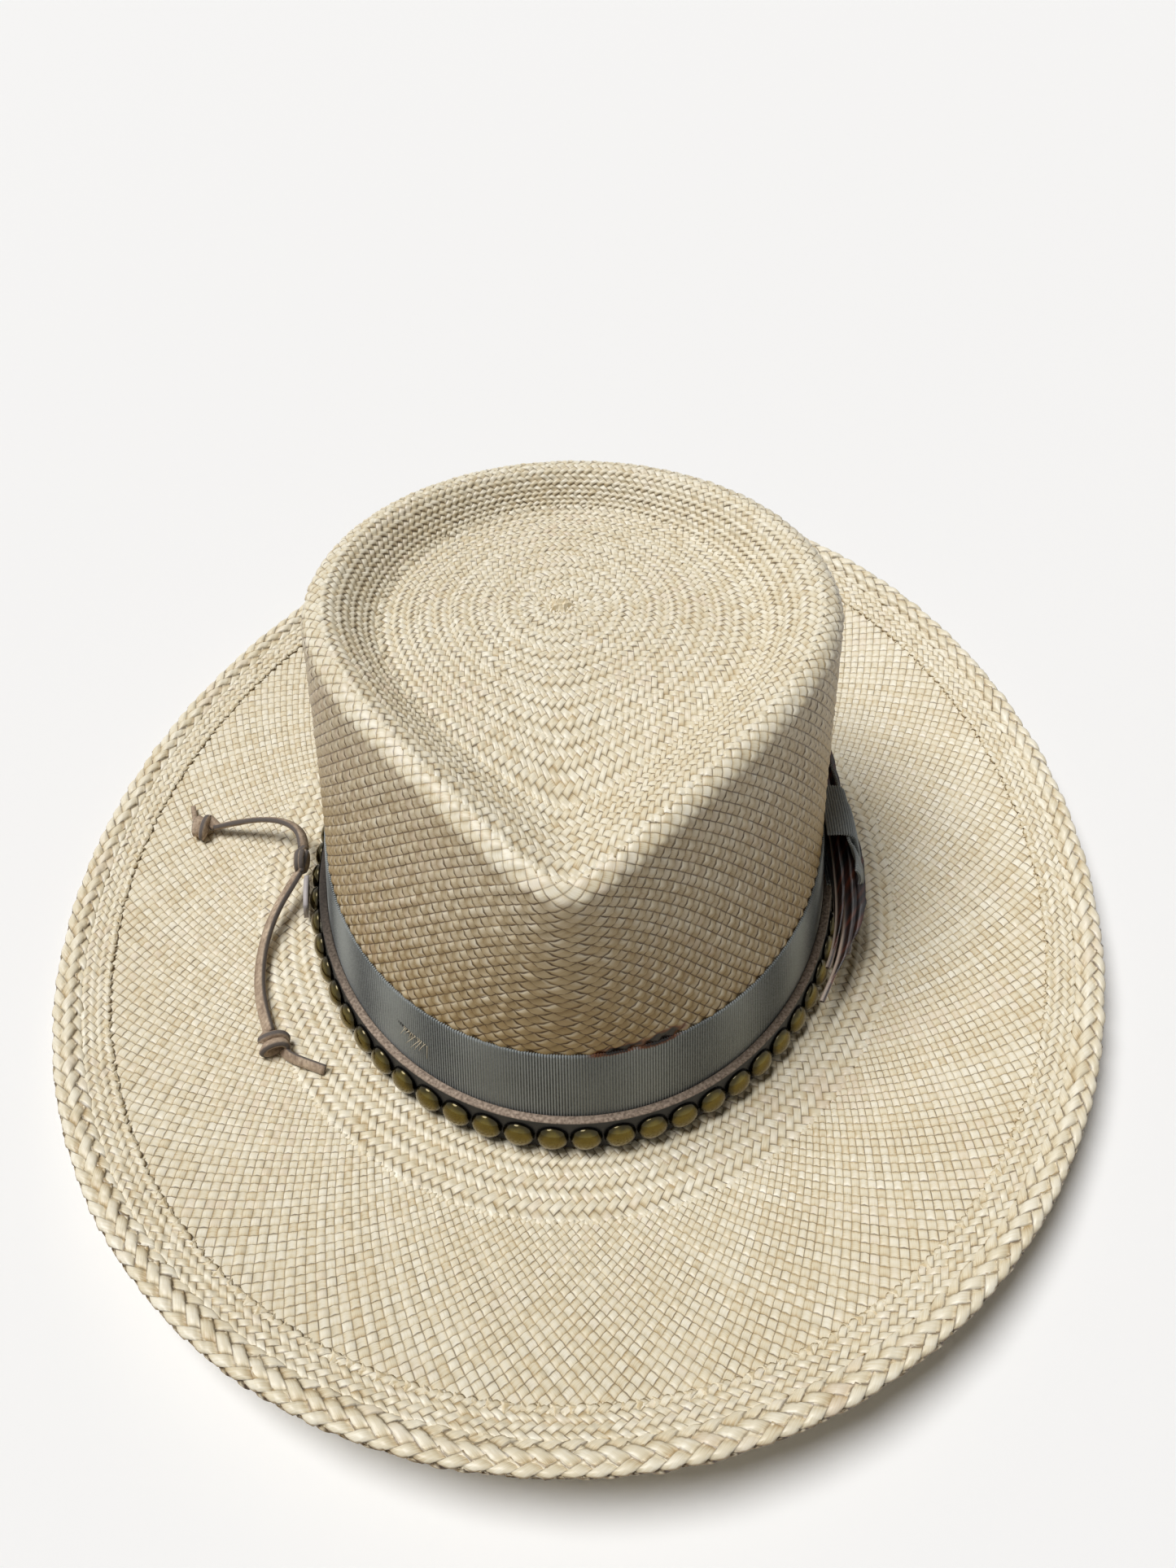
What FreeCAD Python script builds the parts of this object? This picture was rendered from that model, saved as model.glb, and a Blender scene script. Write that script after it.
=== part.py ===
import FreeCAD, Part
import math
import os

os.makedirs("parts", exist_ok=True)
V = FreeCAD.Vector

# A panama hat with a teardrop crown, a ribbon with a flat bow, and a studded leather hat belt.
# Millimetres. X to the wearer's left, -Y to the front, Z up; Z = 0 is the plane it rests on.

# straw
straw = 1.6                 # thickness of the woven straw
seam_gap = 0.02             # between pieces that meet face to face
air = 0.15                  # between layers that lie against each other
around = 24                 # sections round the hat

# crown
head_length = 208.0         # outside of the crown at its base, front to back
head_width = 174.0
crown_x = -1.2              # the crown stands a little to the wearer's right
wall_draft = 5.3            # how far the wall comes in by the ribbon's upper edge
crest_half_width = 78.6
crest_widest_y = 12.9
crest_back_y = 87.1
crest_front_y = -89.3
crest_back_z = 113.6
crest_side_z = 114.5
crest_front_z = 100.8
pinch_share = 0.44          # 1 would be an ellipse at the front
pinch_power = 2.43
rim_radius = 6.0            # rounded rim of the crown
tip_x = -5.0                # where the weave starts
tip_y = 20.0
tip_z = 104.5
drop_back = 10.0            # depth of the crown top inside its rim
drop_side = 11.5
drop_front = 5.0

# brim
brim_half_length = 199.0
brim_half_width = 176.1
brim_turn = -3.0            # degrees
edge_mean_z = 16.6
edge_front_back_z = 7.8     # the edge stands this much higher at the front and back
edge_skew_z = 3.0
edge_left_z = 5.4           # and this much higher on the wearer's left
brim_rise = 1.7             # how late the brim turns up; 1 is a straight cone
hem_width = 7.0             # flat back-woven band
hem_thickness = 2.6
roll_width = 9.0            # rounded outer edge
roll_thickness = 4.6

# ribbon and bow
ribbon_thickness = 0.6
ribbon_bottom_z = 3.6
ribbon_top_z = 41.5
bow_bottom_z = 15.6
bow_top_z = 42.6
bow_y = -7.3                # middle of the wrap
bow_lean = 8.0              # the bow's outside stands this much further out at its foot
wrap_length = 22.0
wrap_depth = 8.6            # how far the wrap stands off the ribbon at its top
wrap_thickness = 0.8
flap_length = 14.0          # beyond the wrap, towards the front
flap_bulge = 1.6
tail_length = 20.0          # beyond the wrap, towards the back
tail_fall = 3.0             # how far the tail comes in again
corner_room = 1.1           # what the wrap's rounded folds take from the layers inside
layer_room = 0.9            # and from their height

# hat belt
belt_thickness = 2.8
belt_bottom_z = 2.4
belt_top_z = 14.5
stud_diameter = 9.5
stud_height = 3.6
stud_edge = 0.7
stud_sides = 12
stud_pitch = 9.95
stud_gap = 0.2              # its flat back against the curved belt
stud_z = 8.1
belt_end_y = -12.5
belt_end_length = 13.0
belt_end_thickness = 1.6
belt_end_bottom_z = 4.0
belt_end_top_z = 12.0

# laces
lace_diameter = 2.6
knot_ring = 2.7             # mean radius of a knot's turns
knot_tube = 1.5
knot_tilt = 28.0            # degrees between a turn and the brim
stub_length = 4.0           # of cord inside a knot
tie_x = -97.6               # knot of the belt's lacing
tie_y = -5.0
tie_z = 10.5

# feathers
quill_radius = 0.9
vane_thickness = 0.5
feather_half_width = 4.6
feather_step = 2.5          # outwards, from one feather to the next
feather_lift = 1.5          # and upwards

# sweatband
sweatband_thickness = 1.2
sweatband_height = 36.0
reed_width = 2.0
tape_length = 16.0
tape_thickness = 0.6


def oval(angle, half_width, half_length, z, grow):
    """Point on an oval round the crown, moved outwards by grow."""
    c, s = math.cos(angle), math.sin(angle)
    slope = math.hypot(c / half_width, s / half_length)
    x = half_width * c + grow * c / half_width / slope
    y = half_length * s + grow * s / half_length / slope
    return V(crown_x + x, y, z)


def wall_point(angle, z, grow=0.0):
    """Point on the outside of the crown's wall, up to the ribbon's upper edge."""
    draft = wall_draft * z / ribbon_top_z
    return oval(angle, head_width / 2 - draft, head_length / 2 - draft, z, grow)


def crest_point(angle):
    c, s = math.cos(angle), math.sin(angle)
    if s >= 0:
        x = crest_half_width * c
        y = crest_widest_y + (crest_back_y - crest_widest_y) * s
        z = crest_side_z + (crest_back_z - crest_side_z) * s * s
    else:
        x = crest_half_width * c * (pinch_share + (1 - pinch_share) * abs(c) ** pinch_power)
        y = crest_widest_y + (crest_widest_y - crest_front_y) * s
        z = crest_side_z + (crest_front_z - crest_side_z) * s * s
    return V(crown_x + x, y, z)


def rim_point(angle, outwards, upwards):
    """Point beside the crest; both offsets are parts of the rim's radius."""
    step = 0.03
    along = crest_point(angle + step) - crest_point(angle - step)
    side = V(along.y, -along.x, 0).normalize()
    return crest_point(angle) + side * (rim_radius * outwards) + V(0, 0, rim_radius * upwards)


def tip_point(angle, share, fall):
    """Point on the crown's top: share of the way to the middle, fall as a part of the drop."""
    s = math.sin(angle)
    drop = drop_side + ((drop_back if s >= 0 else drop_front) - drop_side) * abs(s) ** 3
    rim = rim_point(angle, -0.71, 0.29)
    middle = V(tip_x, tip_y, tip_z)
    point = rim + (middle - rim) * share
    rise = max(0.0, share - 0.33) / 0.67
    rise = rise * rise * (3 - 2 * rise)
    floor = rim.z - drop * fall
    point.z = floor + (tip_z - floor) * rise
    return point


def edge_point(angle, inset=0.0, up=0.0):
    """Point on the middle surface of the brim near its edge, inset towards the crown."""
    turn = math.radians(brim_turn)
    c, s = math.cos(angle), math.sin(angle)
    slope = math.hypot(c / brim_half_width, s / brim_half_length)
    x = brim_half_width * c - inset * c / brim_half_width / slope
    y = brim_half_length * s - inset * s / brim_half_length / slope
    plan = V(x * math.cos(turn) - y * math.sin(turn), x * math.sin(turn) + y * math.cos(turn), 0)
    width = (brim_half_width + brim_half_length - (head_width + head_length) / 2) / 2
    return plan + V(0, 0, brim_z(angle, 1 - inset / width) + up)


def brim_z(angle, share):
    """Height of the brim's middle surface, share of the way from the crown to the edge."""
    edge = edge_mean_z - edge_front_back_z * math.cos(2 * angle)
    edge += edge_skew_z * math.sin(2 * angle) + edge_left_z * math.cos(angle)
    foot = straw / 2 + seam_gap
    return foot + (edge - foot) * share ** brim_rise


def angles():
    return [2 * math.pi * i / around for i in range(around)]


def is_dot(ring):
    return ring[0].distanceToPoint(ring[around // 2]) < 0.001


def round_curve(ring):
    curve = Part.BSplineCurve()
    curve.interpolate(Points=ring, PeriodicFlag=True, Parameters=list(range(around + 1)))
    return curve


def skin(rings, degree=3):
    """Surface through rings of points: closed round the hat, open from ring to ring."""
    guide = round_curve(rings[0])
    count = len(guide.getPoles())
    rounds = [[ring[0]] * count if is_dot(ring) else round_curve(ring).getPoles() for ring in rings]
    spacing = [0.0]
    for before, after in zip(rings, rings[1:]):
        spacing.append(spacing[-1] + before[0].distanceToPoint(after[0]))
    poles = []
    for column in zip(*rounds):
        across = Part.BSplineCurve()
        if degree == 1:
            across.buildFromPolesMultsKnots(list(column), [2, 2], [0, 1], False, 1)
        else:
            across.interpolate(Points=list(column), Parameters=spacing)
        poles.append(across.getPoles())
    surface = Part.BSplineSurface()
    surface.buildFromPolesMultsKnots(poles, guide.getMultiplicities(), across.getMultiplicities(),
                                     guide.getKnots(), across.getKnots(), True, False, 3, across.Degree)
    return surface, spacing


def closed(faces):
    """Solid enclosed by faces that share their edges."""
    shell = Part.makeShell(faces)
    shell.sewShape()
    solid = Part.makeSolid(Part.makeShell(shell.Faces))
    if solid.Volume < 0:
        solid.reverse()
    return solid


def flat_ring(outer, inner):
    wires = [Part.Wire(round_curve(ring).toShape()) for ring in (outer, inner)]
    return Part.makeFace(wires, "Part::FaceMakerBullseye")


def thick(rings, depth, level_foot=False):
    """Solid between the rings and their copies, depth behind the surface."""
    front, spacing = skin(rings)
    behind = []
    for row, ring in zip(spacing, rings):
        if is_dot(ring):
            behind.append([point - V(0, 0, depth) for point in ring])
        else:
            behind.append([point - front.normal(i, row) * depth for i, point in enumerate(ring)])
    if level_foot:
        for point, level in zip(behind[0], rings[0]):
            point.z = level.z
    faces = [front.toShape(), skin(behind)[0].toShape()]
    for end in (0, -1):
        if not is_dot(rings[end]):
            faces.append(skin([rings[end], behind[end]], degree=1)[0].toShape())
    return closed(faces)


def band(bottom, top, grow, thickness):
    """Band round the crown's wall with flat ends."""
    levels = [bottom + (top - bottom) * share for share in (0, 0.5, 1)]
    outer = [[wall_point(a, z, grow + thickness) for a in angles()] for z in levels]
    inner = [[wall_point(a, z, grow) for a in angles()] for z in levels]
    faces = [skin(outer)[0].toShape(), skin(inner)[0].toShape()]
    faces += [flat_ring(outer[0], inner[0]), flat_ring(outer[-1], inner[-1])]
    return closed(faces)


def piece_of(solid, low, high):
    """The part of a band inside an upright box."""
    box = Part.makeBox(high.x - low.x, high.y - low.y, high.z - low.z, low)
    return solid.common(box).Solids[0]


def crown_side():
    low = straw + seam_gap
    levels = [low, (low + ribbon_top_z) / 2, ribbon_top_z]
    rings = [[wall_point(a, z) for a in angles()] for z in levels]
    rings.append([(wall_point(a, ribbon_top_z) + rim_point(a, 0.29, -0.71)) * 0.5 for a in angles()])
    for outwards, upwards in ((0.29, -0.71), (0.0, 0.0), (-0.71, 0.29)):
        rings.append([rim_point(a, outwards, upwards) for a in angles()])
    return thick(rings, straw, level_foot=True)


def crown_tip():
    start = seam_gap / crest_half_width
    rows = ((start, 0), (0.06, 0.15), (0.13, 0.6), (0.22, 0.95), (0.38, 1), (0.68, 1), (1, 1))
    return thick([[tip_point(a, share, fall) for a in angles()] for share, fall in rows], straw)


def brim():
    hem = hem_width + roll_width + seam_gap
    outer = [edge_point(a, hem) for a in angles()]
    rings = [[point + V(0, 0, straw / 2) for point in outer]]
    for share in (0.65, 0.3, 0.06):
        ring = []
        for i, a in enumerate(angles()):
            foot = wall_point(a, 0)
            point = foot + (outer[i] - foot) * share
            whole = (outer[i] - foot).Length / ((outer[i] - foot).Length + hem)
            point.z = brim_z(a, share * whole) + straw / 2
            ring.append(point)
        rings.append(ring)
    rings.append([wall_point(a, 0, -straw) + V(0, 0, straw) for a in angles()])
    return thick(rings, straw)


def brim_edge():
    half = roll_thickness / 2
    flat = hem_thickness / 2
    hem = hem_width + roll_width
    valley = roll_width + 0.4
    section = [(hem, flat), (valley, flat - 0.2), (roll_width * 0.85, half * 0.8),
               (roll_width * 0.5, half), (roll_width * 0.12, half * 0.6), (0, 0)]
    above = [[edge_point(a, inset, up) for a in angles()] for inset, up in section]
    below = [[edge_point(a, inset, -up) for a in angles()] for inset, up in section]
    faces = [skin(above)[0].toShape(), skin(below)[0].toShape()]
    faces.append(skin([above[0], below[0]], degree=1)[0].toShape())
    return closed(faces)


ribbon_face = air + ribbon_thickness          # outside of the ribbon, off the crown
belt_face = ribbon_face + air + belt_thickness
stud_face = belt_face + stud_gap + stud_height


def ring_of(radius, z):
    """Outline of a stud with flats, which keeps the row light."""
    turns = [2 * math.pi * i / stud_sides for i in range(stud_sides + 1)]
    return Part.makePolygon([V(radius * math.cos(t), radius * math.sin(t), z) for t in turns])


def brass_studs():
    radius = stud_diameter / 2
    rise = stud_height - stud_edge
    ball = (radius * radius + rise * rise) / (2 * rise)
    half_way = math.asin(radius / ball) / 2
    bulge = stud_height - ball * (1 - math.cos(half_way))
    rings = [ring_of(radius, 0), ring_of(radius, stud_edge), ring_of(ball * math.sin(half_way), bulge)]
    dome = Part.makeLoft(rings + [Part.Vertex(0, 0, stud_height)], True, True)
    row = round_curve([wall_point(a, stud_z, belt_face + stud_gap) for a in angles()])
    count = int(row.length() / stud_pitch)
    studs = []
    for place in row.toShape().discretize(Number=count + 1)[:-1]:
        along = row.tangent(row.parameter(place))[0]
        turn = FreeCAD.Rotation(V(0, 0, 1), V(along.y, -along.x, wall_draft / ribbon_top_z))
        studs.append(dome.transformed(FreeCAD.Placement(place, turn).toMatrix(), copy=True))
    return Part.makeCompound(studs)


def bow_x(z, depth):
    """X of a layer of the bow that stands depth off the ribbon."""
    lean = bow_lean * (bow_top_z - z) / (bow_top_z - bow_bottom_z)
    return wall_point(0, bow_top_z, ribbon_face).x + depth + lean


def bow_wrap():
    y = bow_y - wrap_length / 2
    fold = wrap_depth * 0.4
    top = V(wall_point(0, bow_top_z, ribbon_face + air).x, y, bow_top_z)
    foot = V(wall_point(0, bow_bottom_z, ribbon_face + air).x, y, bow_bottom_z)
    high = [V(bow_x(bow_top_z, wrap_depth) - fold, y, bow_top_z),
            V(bow_x(bow_top_z, wrap_depth) - fold * 0.15, y, bow_top_z - fold * 0.35),
            V(bow_x(bow_top_z - fold, wrap_depth), y, bow_top_z - fold)]
    low = [V(bow_x(bow_bottom_z + fold, wrap_depth), y, bow_bottom_z + fold),
           V(bow_x(bow_bottom_z, wrap_depth) - fold * 0.25, y, bow_bottom_z + fold * 0.3),
           V(bow_x(bow_bottom_z, wrap_depth) - fold, y, bow_bottom_z)]
    edges = [Part.LineSegment(top, high[0]), Part.Arc(*high), Part.LineSegment(high[2], low[0]),
             Part.Arc(*low), Part.LineSegment(low[2], foot)]
    line = Part.Wire([edge.toShape() for edge in edges])
    return line.makeOffset2D(-wrap_thickness, 0, True, True).extrude(V(0, wrap_length, 0))


def bow_layer(points):
    """Upright ribbon with its outside through points in plan, leaning as the wrap does."""
    inset = wrap_thickness + air + layer_room
    z = bow_top_z - inset
    lean = V(bow_lean * (z - bow_bottom_z - inset) / (bow_top_z - bow_bottom_z), 0, bow_bottom_z + inset - z)
    start, middle, turn, end = [V(bow_x(z, depth), y, z) for depth, y in points]
    edges = [Part.LineSegment(start, middle), Part.Arc(middle, turn, end)]
    line = Part.Wire([edge.toShape() for edge in edges])
    return line.makeOffset2D(ribbon_thickness * math.copysign(1, start.y - end.y), 0, True, True).extrude(lean)


def bow_flap():
    front = bow_y - wrap_length / 2
    depth = wrap_depth - wrap_thickness - air - corner_room
    return bow_layer([(depth, bow_y - seam_gap), (depth, front), (depth + flap_bulge, front - flap_length * 0.5),
                      (depth + flap_bulge * 0.4, front - flap_length)])


def bow_tail():
    back = bow_y + wrap_length / 2
    depth = wrap_depth - wrap_thickness - air - corner_room
    return bow_layer([(depth, bow_y + seam_gap), (depth, back), (depth - tail_fall * 0.35, back + tail_length * 0.5),
                      (depth - tail_fall, back + tail_length)])


def section(centre, along, half_width, half_depth):
    """Outline across a feather: a ridge along each face, upright, its foot a little outwards."""
    side = V(-0.3, 0, 1).cross(along).normalize()
    up = along.cross(side).normalize()
    up, side = up * half_width, side * half_depth
    return Part.makePolygon([centre + up, centre + side, centre - up, centre - side, centre + up])


def feather(outwards, upwards, start, share):
    """One feather: a round quill that widens into a thin vane, from its quill end to its tip."""
    route = [V(77.5, -63.5, 14.0), V(84.0, -50.0, 18.0), V(87.2, -36.0, 21.5), V(87.8, -20.0, 25.5),
             V(87.0, -4.0, 30.5), V(85.2, 12.0, 36.5), V(82.2, 27.0, 44.0), V(78.0, 40.0, 52.0)]
    shaft = Part.BSplineCurve()
    shaft.interpolate([point + V(outwards, 0, upwards) for point in route])
    first = shaft.FirstParameter + (shaft.LastParameter - shaft.FirstParameter) * start
    last = first + (shaft.LastParameter - shaft.FirstParameter) * share
    widths = (0, 0, 0.35, 0.8, 1, 1, 0.85, 0.55, 0.12)
    wires = []
    for i, width in enumerate(widths):
        at = first + (last - first) * i / (len(widths) - 1)
        half_width = quill_radius + feather_half_width * width
        half_depth = quill_radius + (vane_thickness / 2 - quill_radius) * min(1, i / 3)
        wires.append(section(shaft.value(at), shaft.tangent(at)[0], half_width, half_depth))
    return Part.makeLoft(wires, True, True)


def tube(points, diameter):
    """Cord along straight runs joined by tangent arcs, each as large as its runs allow."""
    edges = []
    start = points[0]
    for before, corner, after in zip(points, points[1:], points[2:]):
        back = (before - corner).normalize()
        on = (after - corner).normalize()
        half_turn = (math.pi - back.getAngle(on)) / 2
        reach = 0.45 * min(before.distanceToPoint(corner), after.distanceToPoint(corner))
        radius = reach / math.tan(half_turn)
        enter = corner + back * reach
        leave = corner + on * reach
        inside = corner + (back + on).normalize() * (reach / math.sin(half_turn) - radius)
        edges += [Part.LineSegment(start, enter).toShape(), Part.Arc(enter, inside, leave).toShape()]
        start = leave
        print("cord radius", round(radius, 1))
    edges.append(Part.LineSegment(start, points[-1]).toShape())
    path = Part.Wire(edges)
    ring = Part.Wire(Part.Circle(points[0], points[1] - points[0], diameter / 2).toShape())
    cord = path.makePipeShell([ring], True, False)
    expected = math.pi * diameter ** 2 / 4 * path.Length
    print("cord length", round(path.Length, 1), "volume", round(cord.Volume, 1), "expected", round(expected, 1))
    return cord


def knot(centre, axis, cords, tail=()):
    """Overhand knot: two tilted turns, the cords that run in, each as (end, next point), and a tail."""
    pieces = []
    turns = [math.pi * i / 3 for i in range(7)]
    outline = Part.makePolygon([V(knot_ring + knot_tube * math.cos(t), 0, knot_tube * math.sin(t)) for t in turns])
    ring = Part.Face(outline).revolve(V(0, 0, 0), V(0, 0, 1), 360)
    for tilt in (knot_tilt, -knot_tilt):
        turn = FreeCAD.Rotation(cords[0][0] - centre, tilt)
        place = FreeCAD.Placement(centre, FreeCAD.Rotation(V(0, 0, 1), turn.multVec(axis)))
        pieces.append(ring.transformed(place.toMatrix(), copy=True))
    for end, beyond in cords:
        pieces.append(Part.makeCylinder(lace_diameter / 2, stub_length, end, end - beyond))
    if tail:
        pieces.append(tube([centre] + tail, lace_diameter))
    return pieces[0].fuse(pieces[1:])


tie = V(tie_x, tie_y, tie_z)
upper_route = [V(-98.0, 0.2, 11.2), V(-98.9, 5.0, 11.9), V(-102.6, 9.8, 12.4), V(-108.8, 12.9, 12.1),
               V(-116.6, 14.4, 10.8), V(-125.2, 15.0, 8.4), V(-133.8, 15.0, 5.6)]
upper_centre = V(-138.8, 14.9, 5.5)
upper_tail = [V(-145.2, 26.0, 4.5)]
lower_route = [V(-98.3, -10.0, 10.0), V(-100.1, -15.5, 9.6), V(-103.0, -23.0, 8.6), V(-105.2, -32.0, 6.9),
               V(-105.8, -42.5, 5.1), V(-104.3, -53.0, 4.5), V(-101.2, -62.5, 4.7), V(-97.2, -71.0, 5.4)]
lower_centre = V(-94.7, -75.6, 6.2)
lower_tail = [V(-89.6, -79.2, 5.1), V(-83.8, -81.2, 4.5), V(-77.8, -83.2, 4.1)]


def belt_end():
    strip = band(belt_end_bottom_z, belt_end_top_z, stud_face + air, belt_end_thickness)
    low = V(-head_width, belt_end_y - belt_end_length, 0)
    return piece_of(strip, low, V(0, belt_end_y, belt_top_z))


def sweatband():
    return band(0, sweatband_height, -straw - air - sweatband_thickness, sweatband_thickness)


def sweatband_tape():
    grow = -straw - 2 * air - sweatband_thickness - tape_thickness
    low = V(crown_x - tape_length / 2, 0, 0)
    strip = band(2 * air + reed_width, sweatband_height, grow, tape_thickness)
    return piece_of(strip, low, V(crown_x + tape_length / 2, head_length, head_length))


def sweatband_reed():
    grow = -straw - 2 * air - sweatband_thickness - reed_width
    return band(air, air + reed_width, grow, reed_width)


def write(name, shape):
    print(name, shape.isValid(), len(shape.Solids), "volume", round(shape.Volume))
    shape.exportStep("parts/" + name + ".step")


write("crown_side", crown_side())
write("crown_tip", crown_tip())
write("brim", brim())
write("brim_edge", brim_edge())
write("ribbon_band", band(ribbon_bottom_z, ribbon_top_z, air, ribbon_thickness))
write("bow_wrap", bow_wrap())
write("bow_flap", bow_flap())
write("bow_tail", bow_tail())
write("feather_long", feather(0, 0, 0, 1))
write("feather_middle", feather(-feather_step, feather_lift, 0.1, 0.8))
write("feather_short", feather(feather_step, -feather_lift, 0.16, 0.5))
write("hat_belt", band(belt_bottom_z, belt_top_z, ribbon_face + air, belt_thickness))
write("brass_studs", brass_studs())
write("belt_end", belt_end())
write("belt_knot", knot(tie, V(1, 0, 0), [upper_route[:2], lower_route[:2]]))
write("upper_lace", tube(upper_route, lace_diameter))
write("upper_lace_knot", knot(upper_centre, V(0, 0, 1), [upper_route[:-3:-1]], upper_tail))
write("lower_lace", tube(lower_route, lace_diameter))
write("lower_lace_knot", knot(lower_centre, V(0, 0, 1), [lower_route[:-3:-1]], lower_tail))
write("sweatband", sweatband())
write("sweatband_reed", sweatband_reed())
write("sweatband_tape", sweatband_tape())
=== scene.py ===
import math
from functools import partial

import bmesh
import bpy
import numpy as np
from mathutils import Matrix, Vector


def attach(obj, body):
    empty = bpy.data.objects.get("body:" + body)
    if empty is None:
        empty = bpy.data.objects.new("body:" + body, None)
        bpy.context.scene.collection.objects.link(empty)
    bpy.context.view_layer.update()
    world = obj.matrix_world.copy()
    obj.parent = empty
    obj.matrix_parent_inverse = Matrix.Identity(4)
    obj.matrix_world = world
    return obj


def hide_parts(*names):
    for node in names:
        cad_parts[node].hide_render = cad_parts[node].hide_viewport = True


# A panama hat with a teardrop crown, ribbon, bow, feathers and a studded leather hat belt.
# Metres; -Y is the front, +X the wearer's left, and the hat stands on z = 0.

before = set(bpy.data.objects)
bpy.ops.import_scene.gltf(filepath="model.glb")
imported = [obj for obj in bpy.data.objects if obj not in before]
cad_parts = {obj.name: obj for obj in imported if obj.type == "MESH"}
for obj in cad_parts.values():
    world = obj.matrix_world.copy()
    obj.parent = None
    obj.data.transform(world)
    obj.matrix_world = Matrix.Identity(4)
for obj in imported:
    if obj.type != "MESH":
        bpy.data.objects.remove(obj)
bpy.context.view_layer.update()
mm = 0.001
turn = 2 * math.pi


def link(obj):
    bpy.context.scene.collection.objects.link(obj)
    return obj


def linear(hexColour):
    channels = [int(hexColour[i:i + 2], 16) / 255 for i in (1, 3, 5)]
    return tuple(c / 12.92 if c <= 0.04045 else ((c + 0.055) / 1.055) ** 2.4 for c in channels) + (1.0,)


def feed(node, values):
    # sets a node's inputs, or links them where the value is a node or an output
    for key, value in values.items():
        if isinstance(value, bpy.types.Node):
            value = value.outputs[0]
        if isinstance(value, bpy.types.NodeSocket):
            node.id_data.links.new(value, node.inputs[key])
        elif value is not None:
            node.inputs[key].default_value = value


def addNode(tree, kind, *inputs, named=None, **settings):
    # kind may end with the node's operation, and is a shader node unless it says otherwise
    kind, gap, operation = kind.partition(" ")
    node = tree.nodes.new(kind if kind.startswith(("Geometry", "Function", "Node")) else "ShaderNode" + kind)
    if operation:
        node.operation = operation
    for key, value in settings.items():
        setattr(node, key, value)
    feed(node, {**dict(enumerate(inputs)), **(named or {})})
    return node


def setStops(ramp, *stops):
    # positions and colours along a colour ramp
    elements = ramp.color_ramp.elements
    for element, (position, colour) in zip(list(elements), (stops[0], stops[-1])):
        element.position, element.color = position, linear(colour)
    for position, colour in stops[1:-1]:
        elements.new(position).color = linear(colour)
    return ramp


# camera

camera = {
    "place": (7.5, -265.2, 330.4),
    "target": (3.2, 5.5, 40.0),
    "roll": -0.4,
    "lens": 26.85,
}


def placeCamera():
    obj = link(bpy.data.objects.new("camera", bpy.data.cameras.new("camera")))
    obj.data.lens = camera["lens"]
    obj.data.clip_start = 0.01
    place, target = Vector(camera["place"]) * mm, Vector(camera["target"]) * mm
    aim = (target - place).to_track_quat("-Z", "Y").to_matrix()
    aim = aim @ Matrix.Rotation(math.radians(camera["roll"]), 3, "Z")
    obj.matrix_world = Matrix.Translation(place) @ aim.to_4x4()
    bpy.context.scene.camera = obj


placeCamera()
print("camera placed")


# mesh and tree helpers

def newMesh(name, points, loops, starts, material=None, smooth=True):
    mesh = bpy.data.meshes.new(name)
    mesh.vertices.add(len(points))
    mesh.vertices.foreach_set("co", np.asarray(points, dtype=np.float32).ravel())
    mesh.loops.add(len(loops))
    mesh.loops.foreach_set("vertex_index", np.asarray(loops, dtype=np.int32))
    mesh.polygons.add(len(starts))
    mesh.polygons.foreach_set("loop_start", np.asarray(starts, dtype=np.int32))
    mesh.polygons.foreach_set("use_smooth", np.full(len(starts), smooth))
    mesh.update(calc_edges=True)
    mesh.validate()
    if material:
        mesh.materials.append(material)
    return link(bpy.data.objects.new(name, mesh))


def storeValues(obj, name, values):
    # one number or direction for each point of a piece
    values = np.asarray(values, dtype=np.float32)
    kind, key = ("FLOAT", "value") if values.ndim == 1 else ("FLOAT_VECTOR", "vector")
    obj.data.attributes.new(name, kind, "POINT").data.foreach_set(key, values.ravel())


def fixNormals(obj):
    work = bmesh.new()
    work.from_mesh(obj.data)
    bmesh.ops.recalc_face_normals(work, faces=work.faces)
    work.to_mesh(obj.data)
    work.free()


def gridPiece(name, grid, material, loopLong=False, loopWide=True):
    # a lofted skin: grid[i][j] runs along the piece, then round or across its section
    grid = np.asarray(grid)
    rows, wide = grid.shape[:2]
    i = np.arange(rows if loopLong else rows - 1)[:, None]
    j = np.arange(wide if loopWide else wide - 1)[None, :]
    corners = ((0, 0), (1, 0), (1, 1), (0, 1))
    quads = [((i + di) % rows) * wide + (j + dj) % wide for di, dj in corners]
    quads = np.stack([np.broadcast_to(q, np.broadcast(i, j).shape) for q in quads], axis=-1).reshape(-1, 4)
    middle = grid.mean(axis=1)
    longStep = np.linalg.norm(np.roll(middle, -1, axis=0) - middle, axis=1)
    wideStep = np.linalg.norm(np.roll(grid, -1, axis=1) - grid, axis=2).mean(axis=0)
    u = np.concatenate([[0], np.cumsum(longStep)]) / mm
    v = np.concatenate([[0], np.cumsum(wideStep)]) / mm
    uv = [np.stack(np.broadcast_arrays(u[i + di], v[j + dj]), axis=-1) for di, dj in corners]
    uv = np.stack(uv, axis=-2).reshape(-1, 2)
    loops, starts = list(quads.ravel()), list(np.arange(len(quads)) * 4)
    if not loopLong and loopWide:
        for ring in (np.arange(wide)[::-1], (rows - 1) * wide + np.arange(wide)):
            starts.append(len(loops))
            loops.extend(ring)
        ends = np.concatenate([np.stack([np.full(wide, u[k]), v[:wide]], axis=1) for k in (0, rows - 1)])
        uv = np.concatenate([uv, ends])
    obj = newMesh(name, grid.reshape(-1, 3), loops, starts, material)
    obj.data.uv_layers.new(name="lay").data.foreach_set("uv", uv.astype(np.float32).ravel())
    storeValues(obj, "place", np.stack(np.broadcast_arrays(u[:rows, None], v[None, :wide], 0.0), axis=-1))
    if loopWide:
        fixNormals(obj)
    return obj


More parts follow.
